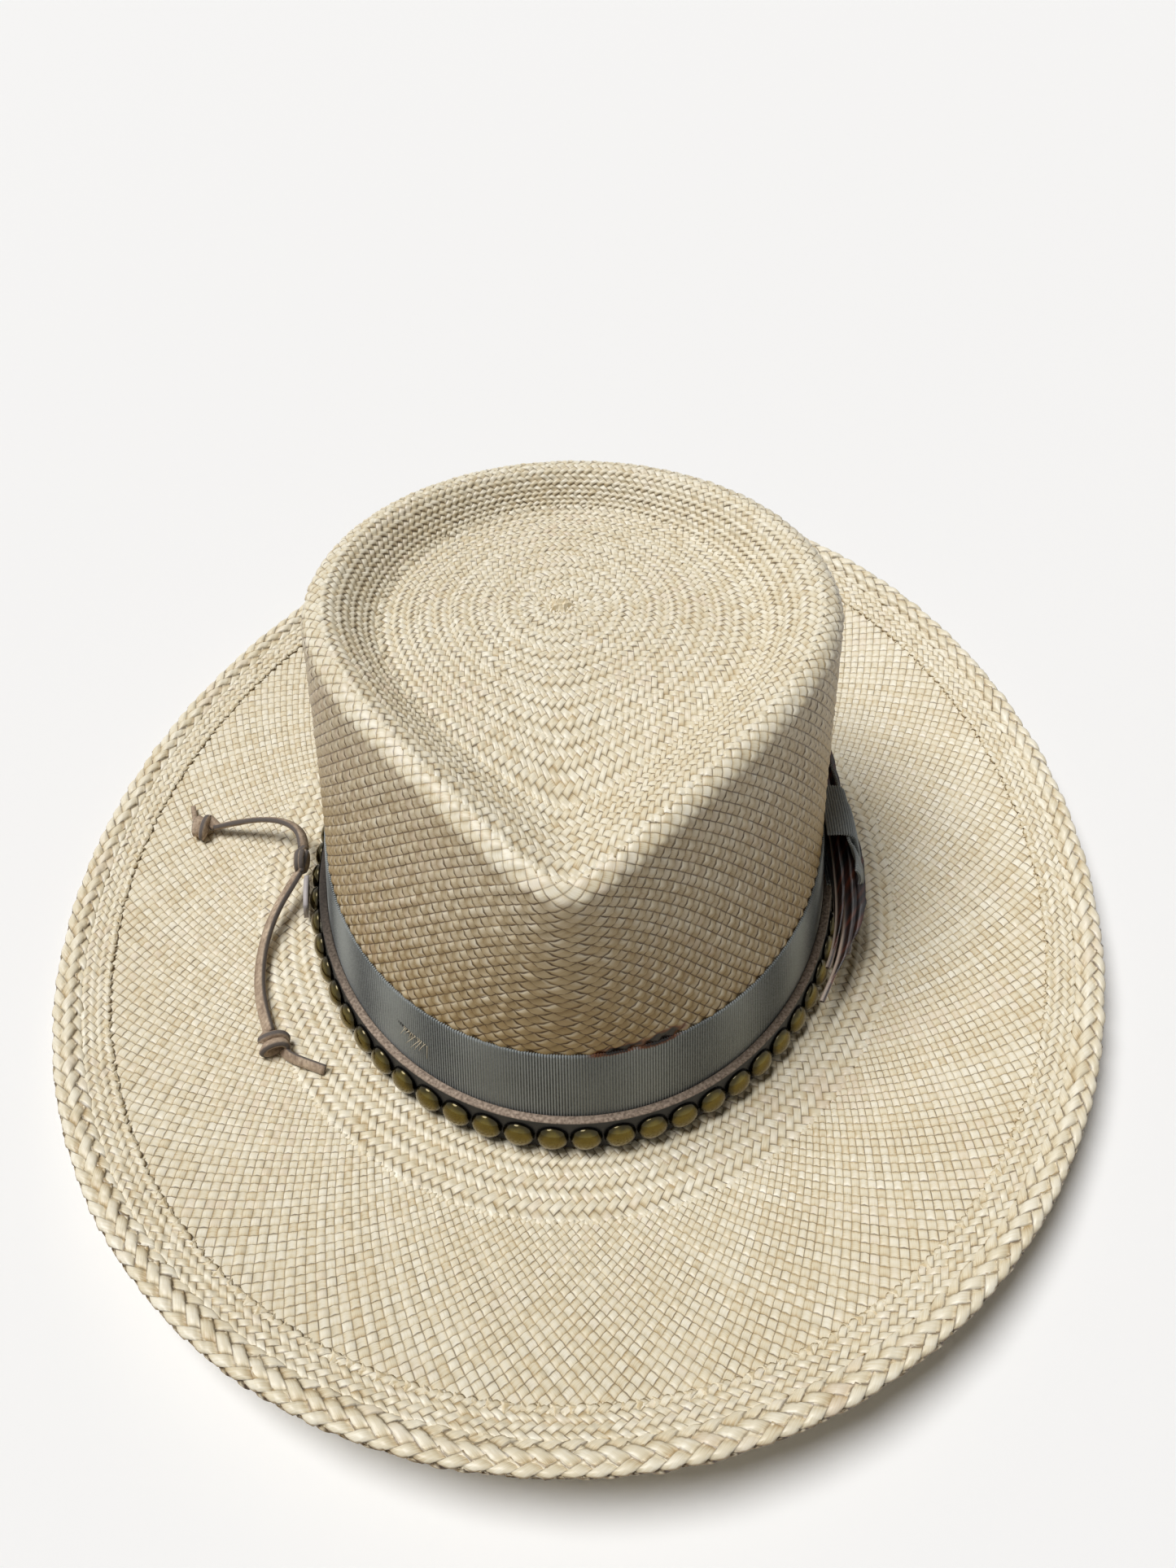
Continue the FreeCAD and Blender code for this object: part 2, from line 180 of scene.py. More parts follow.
def smoothStep(low, high, value):
    share = np.clip((value - low) / (high - low), 0, 1)
    return share * share * (3 - 2 * share)


def heading(path, i):
    return (path[min(i + 1, len(path) - 1)] - path[max(i - 1, 0)]).normalized()


def lengthAlong(line):
    # distance from the start of a line to each of its points
    return np.concatenate([[0], np.cumsum(np.linalg.norm(np.diff(line, axis=0), axis=1))])


def newTree(name, inputs):
    tree = bpy.data.node_groups.new(name, "GeometryNodeTree")
    tree.interface.new_socket("Geometry", in_out="INPUT", socket_type="NodeSocketGeometry")
    tree.interface.new_socket("Geometry", in_out="OUTPUT", socket_type="NodeSocketGeometry")
    for label, value in inputs.items():
        kinds = {int: "NodeSocketInt", float: "NodeSocketFloat", bpy.types.Material: "NodeSocketMaterial"}
        tree.interface.new_socket(label, in_out="INPUT", socket_type=kinds[type(value)]).default_value = value
    add = partial(addNode, tree)
    return tree, add, add("NodeGroupInput").outputs


def endTree(add, geometry, material):
    whole = add("GeometryNodeRealizeInstances", geometry)
    add("NodeGroupOutput", add("GeometryNodeSetMaterial", whole, named={"Material": material}))


def raiseSkin(add, geometry, lift):
    # moves each point out along its normal
    offset = add("VectorMath SCALE", add("GeometryNodeInputNormal"), named={"Scale": lift})
    return add("GeometryNodeSetPosition", geometry, named={"Offset": offset})


def placeShapes(add, geometry, shape, spin=None, growth=None):
    # one shape on each point, turned by the directions that the points carry
    rotation = None
    for name, axis, pivot in (("facing", "Z", "AUTO"), ("along", "X", "Z")):
        aim = add("GeometryNodeInputNamedAttribute", data_type="FLOAT_VECTOR", named={"Name": name})
        rotation = add("FunctionNodeAlignRotationToVector", rotation, axis=axis, pivot_axis=pivot,
                       named={"Vector": aim.outputs["Attribute"]})
    if spin:
        rotation = add("FunctionNodeRotateRotation", rotation, named={"Rotate By": spin}, rotation_space="LOCAL")
    dots = add("GeometryNodeMeshToPoints", geometry)
    return add("GeometryNodeInstanceOnPoints", dots,
               named={"Instance": shape, "Rotation": rotation, "Scale": growth})


def runTree(obj, tree, values=None):
    # grows the tree's geometry on the piece and leaves a plain mesh
    modifier = obj.modifiers.new(tree.name, "NODES")
    modifier.node_group = tree
    for item in tree.interface.items_tree:
        if values and item.item_type == "SOCKET" and item.in_out == "INPUT" and item.name in values:
            modifier[item.identifier] = values[item.name]
    depsgraph = bpy.context.evaluated_depsgraph_get()
    grown = bpy.data.meshes.new_from_object(obj.evaluated_get(depsgraph), preserve_all_data_layers=True,
                                            depsgraph=depsgraph)
    obj.modifiers.clear()
    obj.data = grown
    return obj


def newMaterial(name, roughness, metallic=0.0, ior=1.5):
    material = bpy.data.materials.new(name)
    material.use_nodes = True
    shader = material.node_tree.nodes["Principled BSDF"]
    feed(shader, {"Roughness": roughness, "Metallic": metallic, "IOR": None if metallic else ior})
    return material, partial(addNode, material.node_tree), shader


# cords: the two free laces of the hat belt

laces = {
    "width": 4.0, "thickness": 2.0, "flatWidth": 0.84, "cutThickness": 0.5,
    "upperLean": -48.0, "lowerLean": -40.0,          # how far each lace is rolled about its own line
    "upper": [(-98.0, 0.2, 11.2), (-98.9, 5.0, 11.9), (-102.6, 9.8, 12.4), (-108.8, 12.9, 12.1),
              (-116.6, 14.4, 10.8), (-125.2, 15.0, 8.4), (-133.8, 15.0, 5.6)],
    "upperLength": 43.7,
    "upperKnot": (-138.8, 14.9, 5.5),
    "upperTail": [(-145.2, 26.0, 4.5)], "upperTaper": 0.45,
    "lower": [(-98.3, -10.0, 10.0), (-100.1, -15.5, 9.6), (-103.0, -23.0, 8.6), (-105.2, -32.0, 6.9),
              (-105.8, -42.5, 5.1), (-104.3, -53.0, 4.5), (-101.2, -62.5, 4.7), (-97.2, -71.0, 5.4)],
    "lowerLength": 63.9,
    "lowerKnot": (-94.7, -75.6, 6.2),
    "lowerTail": [(-89.6, -79.2, 5.1), (-83.8, -81.2, 4.5), (-77.8, -83.2, 4.1)], "lowerTaper": 0.8,
    "knotSize": 2.75,
    "tie": (-97.6, -5.0, 10.5),
}


def laceMaterial():
    # nubuck lace cut with a knife: matt brushed face, greyer on its cut sides
    material, add, shader = newMaterial("nubuckLace", 0.85)
    place = add("TexCoord").outputs["Object"]
    nap = add("TexNoise", named={"Vector": place, "Scale": 900.0, "Detail": 4.0})
    patch = add("TexNoise", named={"Vector": place, "Scale": 160.0, "Detail": 2.0})
    mixed = add("Math MULTIPLY", nap, patch)
    face = setStops(add("ValToRGB", mixed), (0.12, "#85705E"), (0.42, "#CDB8A0"))
    side = add("Attribute", attribute_name="side").outputs["Fac"]
    colour = add("Mix", data_type="RGBA", named={0: side, 6: face, 7: linear("#625A55")})
    bump = add("Bump", named={"Height": nap, "Strength": 0.5, "Distance": 0.0002})
    feed(shader, {"Base Color": colour.outputs[2], "Normal": bump})
    return material


def splinePoints(name, points):
    # reads the smooth route of a cord from its NURBS spline
    curve = bpy.data.curves.new(name, "CURVE")
    curve.dimensions = "3D"
    curve.resolution_u = 10
    spline = curve.splines.new("NURBS")
    spline.points.add(len(points) - 1)
    for target, point in zip(spline.points, points):
        target.co = (*(Vector(point) * mm), 1.0)
    spline.order_u = 3
    spline.use_endpoint_u = True
    obj = link(bpy.data.objects.new(name, curve))
    depsgraph = bpy.context.evaluated_depsgraph_get()
    mesh = bpy.data.meshes.new_from_object(obj.evaluated_get(depsgraph))
    route = [vertex.co.copy() for vertex in mesh.vertices]
    bpy.data.objects.remove(obj)
    return route


def laceSection():
    # rounded rectangle, and how much of each corner belongs to the cut side
    halfWide, halfThick = laces["width"] / 2 * mm, laces["thickness"] / 2 * mm
    order = []
    for x, z, first in ((1, -1, True), (1, 1, False), (-1, 1, True), (-1, -1, False)):
        side = (x * halfWide, z * halfThick * laces["cutThickness"], 1.0)
        flat = (x * halfWide * laces["flatWidth"], z * halfThick, 0.0)
        order += [flat, side] if first else [side, flat]
    return order


def lacePiece(name, route, material, up=None, lean=0.0, taper=1.0):
    # taper is the share of its width left at the far end
    section = laceSection()
    c, s = math.cos(math.radians(lean)), math.sin(math.radians(lean))
    section = [(x * c - z * s, x * s + z * c, cut) for x, z, cut in section]
    grid = []
    side = None
    for i, point in enumerate(route):
        along = heading(route, i)
        if up is None:
            wide = along.cross(Vector((0, 0, 1))).normalized()
        else:
            wide = side - along * side.dot(along) if side else along.cross(up)
            wide.normalize()
            side = wide
        high = wide.cross(along)
        narrow = 1 - (1 - taper) * float(smoothStep(0.72, 1.0, i / (len(route) - 1)))
        grid.append([point + (wide * x + high * z) * narrow for x, z, cut in section])
    obj = gridPiece(name, grid, material)
    storeValues(obj, "side", np.tile([cut for x, z, cut in section], len(route)))
    return obj


def coil(count, start, turns):
    # angles round a knot, and how far each lies along it, from -0.5 to 0.5
    return [(turn * (start + turns * step / (count - 1)), step / (count - 1) - 0.5) for step in range(count)]


def knotRoute(centre, enter, leave, size):
    # an overhand knot drawn tight: in along the lace, twice round, out along its tail
    centre, enter, leave = Vector(centre) * mm, Vector(enter) * mm, Vector(leave) * mm
    along = (centre - enter).normalized()
    wide = along.cross(Vector((0, 0, 1))).normalized()
    high = wide.cross(along)
    route = [enter]
    for angle, shift in coil(25, 0.1, 1.55):
        loop = along * (shift * 1.5) + wide * math.cos(angle) * 1.25 + high * math.sin(angle) * 0.75
        route.append(centre + loop * size * mm)
    route.append(leave)
    return route


laceLeather = laceMaterial()
cordPieces = {}
for name in ("upper", "lower"):
    route = splinePoints(name + "Route", laces[name])
    cordPieces[name] = (lacePiece(name + "Lace", route, laceLeather, lean=laces[name + "Lean"]), route)
    knotAt, tail = laces[name + "Knot"], laces[name + "Tail"]
    route = knotRoute(knotAt, laces[name][-1], tail[0], laces["knotSize"])
    route = splinePoints(name + "KnotRoute", [Vector(p) / mm for p in route] + [Vector(p) for p in tail[1:]])
    cordPieces[name + "Knot"] = lacePiece(name + "LaceKnot", route, laceLeather, Vector((0, 0, 1)),
                                          taper=laces[name + "Taper"])
print("laces made")


# straw: two families of strands that cross in log spirals from the middle of the crown to the edge

straw = {
    "thickness": 1.6,
    "crownX": -1.2, "crownHalfWidth": 87.0, "crownHalfLength": 104.0, "draft": 5.3, "ribbonTop": 41.5,
    "crestHalfWidth": 78.6, "widestY": 12.9, "backY": 87.1, "frontY": -89.3,
    "backZ": 113.6, "sideZ": 114.5, "frontZ": 100.8, "pinchShare": 0.44, "pinchPower": 2.43, "rimRadius": 6.0,
    "tip": (-5.0, 20.0, 104.5), "dropBack": 10.0, "dropSide": 11.5, "dropFront": 5.0,
    "brimHalfLength": 199.0, "brimHalfWidth": 176.1, "brimTurn": -3.0,
    "edgeZ": 16.6, "edgeFrontBack": 7.8, "edgeSkew": 3.0, "edgeLeft": 5.4, "brimRise": 1.7,
    "hemWidth": 7.0, "hemThickness": 2.6, "rollWidth": 9.4, "rollThickness": 4.6,
}


def paired(angle, share):
    return np.broadcast_arrays(angle, np.asarray(share, dtype=float))


def stack(x, y, z):
    return np.stack(np.broadcast_arrays(x, y, z), axis=-1) * mm


def ovalPoint(angle, halfWidth, halfLength, grow, middle=0.0):
    # on an oval, or grow outside it along its normal
    c, s = np.cos(angle), np.sin(angle)
    slope = np.hypot(c / halfWidth, s / halfLength)
    return middle + halfWidth * c + grow * c / halfWidth / slope, halfLength * s + grow * s / halfLength / slope


def wallPoint(angle, z, grow=0.0):
    draft = straw["draft"] * z / straw["ribbonTop"]
    halfWidth, halfLength = straw["crownHalfWidth"] - draft, straw["crownHalfLength"] - draft
    return stack(*ovalPoint(angle, halfWidth, halfLength, grow, straw["crownX"]), z)


def crestPoint(angle):
    c, s = np.cos(angle), np.sin(angle)
    pinch = straw["pinchShare"] + (1 - straw["pinchShare"]) * np.abs(c) ** straw["pinchPower"]
    x = straw["crownX"] + straw["crestHalfWidth"] * c * np.where(s >= 0, 1.0, pinch)
    end = np.where(s >= 0, straw["backY"] - straw["widestY"], straw["widestY"] - straw["frontY"])
    endZ = np.where(s >= 0, straw["backZ"], straw["frontZ"])
    return stack(x, straw["widestY"] + end * s, straw["sideZ"] + (endZ - straw["sideZ"]) * s * s)


def rimPoint(angle, bend):
    # bend is 0 on the outside of the rim and a quarter turn on its top
    step = 0.03
    along = crestPoint(angle + step) - crestPoint(angle - step)
    side = np.stack([along[..., 1], -along[..., 0], 0 * along[..., 0]], axis=-1)
    side /= np.linalg.norm(side, axis=-1, keepdims=True)
    radius = straw["rimRadius"] * mm
    out, up = np.cos(bend) - 0.71, np.sin(bend) - 0.71
    return crestPoint(angle) + side * (radius * out)[..., None] + np.array([0, 0, radius]) * up[..., None]


def evenTurn(curve):
    # turns an even share of the way round into the curve's own angle
    angle = np.linspace(0, turn, 2001)
    run = lengthAlong(curve(angle))
    run *= turn / run[-1]

    def convert(even):
        whole = np.floor(even / turn) * turn
        return np.interp(even - whole, run, angle) + whole
    return convert


evenWall = evenTurn(lambda angle: wallPoint(angle, straw["ribbonTop"]))
evenRim = evenTurn(lambda angle: rimPoint(angle, turn / 4 + 0 * angle))


def crownSide(even, t):
    # up the wall, up the cone above the ribbon, and over the rim
    even, t = paired(even, t)
    wallEnd, coneEnd = 0.38, 0.9
    share = smoothStep(0.1, coneEnd, t)
    angle = evenWall(even) * (1 - share) + evenRim(even) * share
    foot = straw["thickness"] * 0.6
    z = foot + (straw["ribbonTop"] - foot) * np.clip(t / wallEnd, -0.05, 1)
    low = wallPoint(angle, z)
    start = rimPoint(angle, np.zeros_like(t))
    point = low + (start - low) * np.clip((t - wallEnd) / (coneEnd - wallEnd), 0, 1)[..., None]
    bend = np.clip((t - coneEnd) / (1 - coneEnd), 0, 1.6) * turn / 4
    return point + rimPoint(angle, bend) - start


def rimTable():
    # how the rim looks from the middle of the crown: its direction, distance and own angle
    angle = np.linspace(-turn, 2 * turn, 6001)
    away = rimPoint(angle, turn / 4 + 0 * angle) / mm - np.array(straw["tip"])
    return np.unwrap(np.arctan2(away[:, 1], away[:, 0])) - turn, np.hypot(away[:, 0], away[:, 1]), angle


rimTurn, rimReach, rimAngle = rimTable()
roundReach = rimReach.mean()
evenTurns = np.linspace(0, turn, 721)
roundShift = (np.interp(evenRim(evenTurns), rimAngle, rimTurn) - evenTurns).mean()


def crownTop(even, share):
    # rings that follow the rim outside and grow round towards the middle
    even, share = paired(even, share)
    level = 1 - share
    rimLike = smoothStep(0.25, 1.0, level)
    direction = np.interp(evenRim(even), rimAngle, rimTurn)
    direction = direction * rimLike + (even + roundShift) * (1 - rimLike)
    reach = np.interp(direction, rimTurn, rimReach)
    radius = level * (reach * rimLike + roundReach * (1 - rimLike))
    return crownDish(np.interp(direction, rimTurn, rimAngle), 1 - radius / reach)


def crownDish(angle, share):
    # from the top of the rim down into the dish and up to the middle
    angle, share = paired(angle, share)
    s = np.sin(angle)
    drop = np.where(s >= 0, straw["dropBack"], straw["dropFront"])
    drop = straw["dropSide"] + (drop - straw["dropSide"]) * np.abs(s) ** 3
    rim = rimPoint(angle, np.full_like(share, turn / 4))
    middle = np.array(straw["tip"]) * mm
    point = rim + (middle - rim) * share[..., None]
    floor = rim[..., 2] - drop * mm * smoothStep(0, 0.25, share)
    point[..., 2] = floor + (middle[2] - floor) * smoothStep(0.33, 1, share)
    return point


def brimZ(angle, share):
    edge = straw["edgeZ"] - straw["edgeFrontBack"] * np.cos(2 * angle)
    edge = edge + straw["edgeSkew"] * np.sin(2 * angle) + straw["edgeLeft"] * np.cos(angle)
    foot = straw["thickness"] / 2
    return foot + (edge - foot) * np.maximum(share, 0) ** straw["brimRise"]


def edgePoint(angle, inset, up):
    # inwards from the brim's edge; the whole brim is turned a little on the crown
    halfWidth, halfLength = straw["brimHalfWidth"], straw["brimHalfLength"]
    x, y = ovalPoint(angle, halfWidth, halfLength, -inset)
    tilt = math.radians(straw["brimTurn"])
    width = (halfWidth + halfLength - straw["crownHalfWidth"] - straw["crownHalfLength"]) / 2
    z = brimZ(angle, 1 - inset / width) + up
    return stack(x * math.cos(tilt) - y * math.sin(tilt), x * math.sin(tilt) + y * math.cos(tilt), z)


def brimTop(angle, t):
    # from under the hem inwards to the crown's foot
    angle, share = paired(angle, 1 - t)
    hem = straw["hemWidth"] + straw["rollWidth"] - 0.4
    outer, foot = edgePoint(angle, hem, 0.0), wallPoint(angle, 0.0)
    point = foot + (outer - foot) * share[..., None]
    reach = np.linalg.norm(outer - foot, axis=-1)
    whole = reach / (reach + hem * mm)
    point[..., 2] = (brimZ(angle, share * whole) + straw["thickness"] / 2) * mm
    return point


def hemTop(angle, t):
    # the flat back-woven band: from the groove inwards
    angle, t = paired(angle, t)
    start = straw["rollWidth"] - 0.6
    inset = start + (straw["hemWidth"] + 1.0) * t
    return edgePoint(angle, inset, straw["hemThickness"] / 2)


def rollSkin(angle, t):
    # the rounded outer edge: from the groove underneath, outwards, and back over the top
    angle, t = paired(angle, t)
    bend = math.radians(160) * (2 * t - 1)
    half = straw["rollWidth"] / 2
    return edgePoint(angle, half * (1 - np.cos(bend)), straw["rollThickness"] / 2 * np.sin(bend))


# where a strand's points lie across it, by how many it has
fractionSets = {3: (0.07, 0.5, 0.93), 4: (0.06, 0.34, 0.66, 0.94)}
around = np.linspace(0, turn, 97)


def weaveSheet(name, surface, count, reach, depth, fine=3, steep=1.0, part=(0, 1), tuck=0.14):
    # a closed sheet whose grid follows the strands: a and b number the two families
    # part is (which, of how many) when one lattice is shared between sheets that meet edge to edge
    fractions = np.array(fractionSets[fine])
    rings = np.linspace(reach[0], reach[1], 140)
    skin = np.array([surface(around, level) for level in rings])
    girth = np.linalg.norm(np.diff(skin, axis=1), axis=2).sum(axis=1)
    climb = np.linalg.norm(np.diff(skin, axis=0), axis=2)[:, :-1].mean(axis=1)
    spiral = np.concatenate([[0], np.cumsum(count * climb / ((girth[1:] + girth[:-1]) / 2))])
    allRows = int(2 * spiral[-1] / steep)
    stretch = spiral[-1] / (allRows / 2)
    which, parts = part
    firstRow = (allRows + 1) * which // parts
    rows = (allRows + 1) * (which + 1) // parts - 1 - firstRow
    top = rows + 1 if which < parts - 1 else rows       # a joined sheet reaches to the next one's first row

    k = firstRow + np.arange(top + 1)[:, None, None, None]
    i = np.arange(count)[None, :, None, None]
    fa, fb = fractions[None, None, :, None], fractions[None, None, None, :]
    u = i - k / 2 + (fa + fb) / 2
    g = (k + fa - fb) / 2 * stretch + 0 * i
    u = u + 0 * g
    startSlope = (rings[1] - rings[0]) / (spiral[1] - spiral[0])
    endSlope = (rings[-1] - rings[-2]) / (spiral[-1] - spiral[-2])
    level = np.interp(g, spiral, rings)
    level = level + np.minimum(g, 0) * startSlope + np.maximum(g - spiral[-1], 0) * endSlope
    angle = turn * u / count
    point = surface(angle, level)
    small, step = 1e-3, (reach[1] - reach[0]) * 1e-3
    across = surface(angle + small, level) - surface(angle - small, level)
    onward = surface(angle, level + step) - surface(angle, level - step)
    normal = np.cross(across, onward)
    normal /= np.linalg.norm(normal, axis=-1, keepdims=True)
    sink = np.where(k + 0 * u < 1, tuck * mm, 0)[..., None]       # the first row tucks under its neighbour
    sides = [point - normal * sink, point - normal * (depth * mm)]
    points = np.stack(sides).reshape(-1, 3)

    def index(side, kk, ii, p, q):
        return (((side * (top + 1) + kk) * count + ii % count) * fine + p) * fine + q

    inner = [((0, 0, p, q), (0, 0, p, q + 1), (0, 0, p + 1, q + 1), (0, 0, p + 1, q))
             for p in range(fine - 1) for q in range(fine - 1)]
    last = fine - 1
    toA = [((0, 0, last, q), (0, 0, last, q + 1), (1, 0, 0, q + 1), (1, 0, 0, q)) for q in range(last)]
    toB = [((0, 0, p, last), (0, 1, p, 0), (0, 1, p + 1, 0), (0, 0, p + 1, last)) for p in range(last)]
    corner = [((0, 0, last, last), (0, 1, last, 0), (1, 1, 0, 0), (1, 0, 0, last))]
    lowCorner = [((0, 0, last, last), (1, 1, 0, 0), (1, 0, 0, last))]
    highCorner = [((0, 0, last, last), (0, 1, last, 0), (1, 1, 0, 0))]
    kk, ii = np.meshgrid(np.arange(top + 1), np.arange(count), indexing="ij")
    faces, maps = [], []

    def lay(templates, keep, side):
        for template in templates:
            spots = template if side == 0 else template[::-1]
            rowsKept, colsKept = kk[keep], ii[keep]
            ids = [index(side, rowsKept + di - dj, colsKept + di, p, q) for di, dj, p, q in spots]
            shift = 0 if side == 0 else 2
            uv = [np.stack([colsKept + di + fractions[p],
                            colsKept - firstRow - rowsKept + dj + fractions[q] + shift], axis=-1)
                  for di, dj, p, q in spots]
            faces.append(np.stack(ids, axis=-1))
            maps.append(np.stack(uv, axis=1))

    for side in (0, 1):
        lay(inner, kk <= rows, side)
        lay(toA, kk < top, side)
        lay(toB, kk > 0, side)
        lay(corner, (kk > 0) & (kk < top), side)
        lay(lowCorner, kk == 0, side)
        lay(highCorner, kk == top, side)
    lowLine = [(0, 0, 0, q) for q in range(fine)] + [(0, 0, p, last) for p in range(1, fine)] + [(1, 1, 0, 0)]
    highLine = [(0, 0, p, 0) for p in range(fine)] + [(0, 0, last, q) for q in range(1, fine)] + [(1, 1, 0, 0)]
    ends = [(lowLine, 0)] if which == 0 else []
    ends += [(highLine, rows)] if which == parts - 1 else []
    cols = np.arange(count)
    for line, row in ends:
        for one, two in zip(line, line[1:]):
            ids = [index(side, row + di - dj, cols + di, p, q)
                   for side, (di, dj, p, q) in ((0, one), (1, one), (1, two), (0, two))]
            uv = [np.stack([cols + di + fractions[p], cols - firstRow - row + dj + fractions[q]], axis=-1)
                  for di, dj, p, q in (one, one, two, two)]
            if row:
                ids, uv = ids[::-1], uv[::-1]
            faces.append(np.stack(ids, axis=-1))
            maps.append(np.stack(uv, axis=1))
    loops = np.concatenate([face.ravel() for face in faces])
    sizes = np.concatenate([np.full(len(face), face.shape[1]) for face in faces])
    starts = np.concatenate([[0], np.cumsum(sizes)[:-1]])
    used, loops = np.unique(loops, return_inverse=True)
    obj = newMesh(name, points[used], loops, starts)
    uv = np.concatenate([corners.reshape(-1, 2) for corners in maps]).astype(np.float32)
    obj.data.uv_layers.new(name="strands").data.foreach_set("uv", uv.ravel())
    a, b = i + fa + 0 * u, i - k + fb + 0 * u
    lattice = np.stack([np.stack([a, b, 0 * u], axis=-1), np.stack([a, b + 2, 0 * u + 1], axis=-1)])
    storeValues(obj, "lattice", lattice.reshape(-1, 3)[used])
    return obj


def weaveRule(add, a, b, count, over, period):
    # what lies on top here: how far across and along its float, and which strand and crossing it is
    rowA, rowB = add("Math FLOOR", a), add("Math FLOOR", b)
    phase = add("Math FLOORED_MODULO", add("Math SUBTRACT", rowA, rowB), period)
    onTop = add("Math LESS_THAN", phase, over)

    def chosen(first, second):
        return add("Mix", named={0: onTop, 2: second, 3: first}).outputs[0]

    # along: 0 in the middle of a float and 1 where it dives
    alongA = add("Math FLOORED_MODULO", add("Math ADD", add("Math SUBTRACT", rowA, b), 1.0), period)
    alongB = add("Math FLOORED_MODULO", add("Math SUBTRACT", a, rowB), period)
    half = add("Math MULTIPLY", over, 0.5)
    run = chosen(add("Math SUBTRACT", alongA, half), add("Math ADD", add("Math SUBTRACT", alongB, period), half))
    across = add("Math MULTIPLY_ADD", chosen(add("Math FRACT", a), add("Math FRACT", b)), 2.0, -1.0)
    wrapA = add("Math FLOORED_MODULO", rowA, count)
    wrapB = add("Math ADD", add("Math FLOORED_MODULO", rowB, count), 1000.0)
    return {"across": add("Math ABSOLUTE", across), "along": add("Math ABSOLUTE", add("Math DIVIDE", run, half)),
            "run": run, "strand": chosen(wrapA, wrapB), "rowA": rowA, "rowB": rowB}


def weaveTree(material):
    # lifts each strand over the ones that it crosses and drops it under the next
    tree, add, given = newTree("weave", {"Relief": 0.62, "Crest": 0.4, "Uneven": 0.12, "Over": 1.0, "Period": 2.0,
                                         "Count": 150.0, "Seed": 3, "Straw": material})
    lattice = add("GeometryNodeInputNamedAttribute", data_type="FLOAT_VECTOR", named={"Name": "lattice"})
    parts = add("SeparateXYZ", lattice.outputs["Attribute"]).outputs
    rule = weaveRule(add, parts[0], parts[1], given["Count"], given["Over"], given["Period"])
    edge = add("Math MULTIPLY", add("Math POWER", rule["across"], 3.0), 0.35)
    dive = add("Math MULTIPLY", add("Math POWER", rule["along"], 2.6), 1.05)
    height = add("Math SUBTRACT", 1.0, add("Math ADD", edge, dive))
    wild = add("TexWhiteNoise", add("CombineXYZ", rule["strand"], given["Seed"]), noise_dimensions="2D")
    cell = add("CombineXYZ", rule["rowA"], rule["rowB"], given["Seed"])
    wildCell = add("TexWhiteNoise", cell, noise_dimensions="3D")
    loose = add("Math ADD", add("Math ADD", wild, wildCell), -1.0)
    loose = add("Math MULTIPLY", loose, given["Uneven"])
    below = add("Math SUBTRACT", height, 1.0)
    rise = add("Math MULTIPLY_ADD", below, given["Relief"], given["Crest"])
    rise = add("Math MULTIPLY", add("Math ADD", rise, loose), mm)
    endTree(add, raiseSkin(add, given["Geometry"], rise), given["Straw"])
    return tree


def sootMask(add, place, centre, spin, size):
    # 1 in the middle of a burn and 0 outside it, with a ragged edge
    ragged = add("TexNoise", named={"Vector": place, "Scale": 420.0, "Detail": 3.0})
    spot = add("Mapping", place, vector_type="TEXTURE", named={
        "Location": Vector(centre) * mm, "Rotation": spin, "Scale": Vector(size) * mm})
    far = add("VectorMath LENGTH", spot).outputs["Value"]
    far = add("Math ADD", far, add("Math MULTIPLY_ADD", ragged, 0.55, -0.27))
    return add("MapRange", far, 0.45, 1.0, 1.0, 0.0)


# a scorch on the ribbon's top edge: middle, turn and half sizes
burns = [
    ((14.0, -98.6, 42.2), (0.0, -0.1, 0.2), (11.0, 6.0, 1.5)),
    ((25.5, -94.2, 42.6), (0.0, -0.1, 0.38), (9.0, 6.0, 2.5)),
]


def burnt(add, place, colour):
    # lays the scorch over a colour: orange-brown halo, then char
    mask = add("Math MAXIMUM", *(sootMask(add, place, *burn) for burn in burns))
    for low, high, tone in ((0.0, 0.5, "#6E3F1D"), (0.45, 0.85, "#17100B")):
        share = add("MapRange", mask, low, high, 0.0, 1.0)
        colour = add("Mix", data_type="RGBA", named={0: share, 6: colour, 7: linear(tone)}).outputs[2]
    return colour


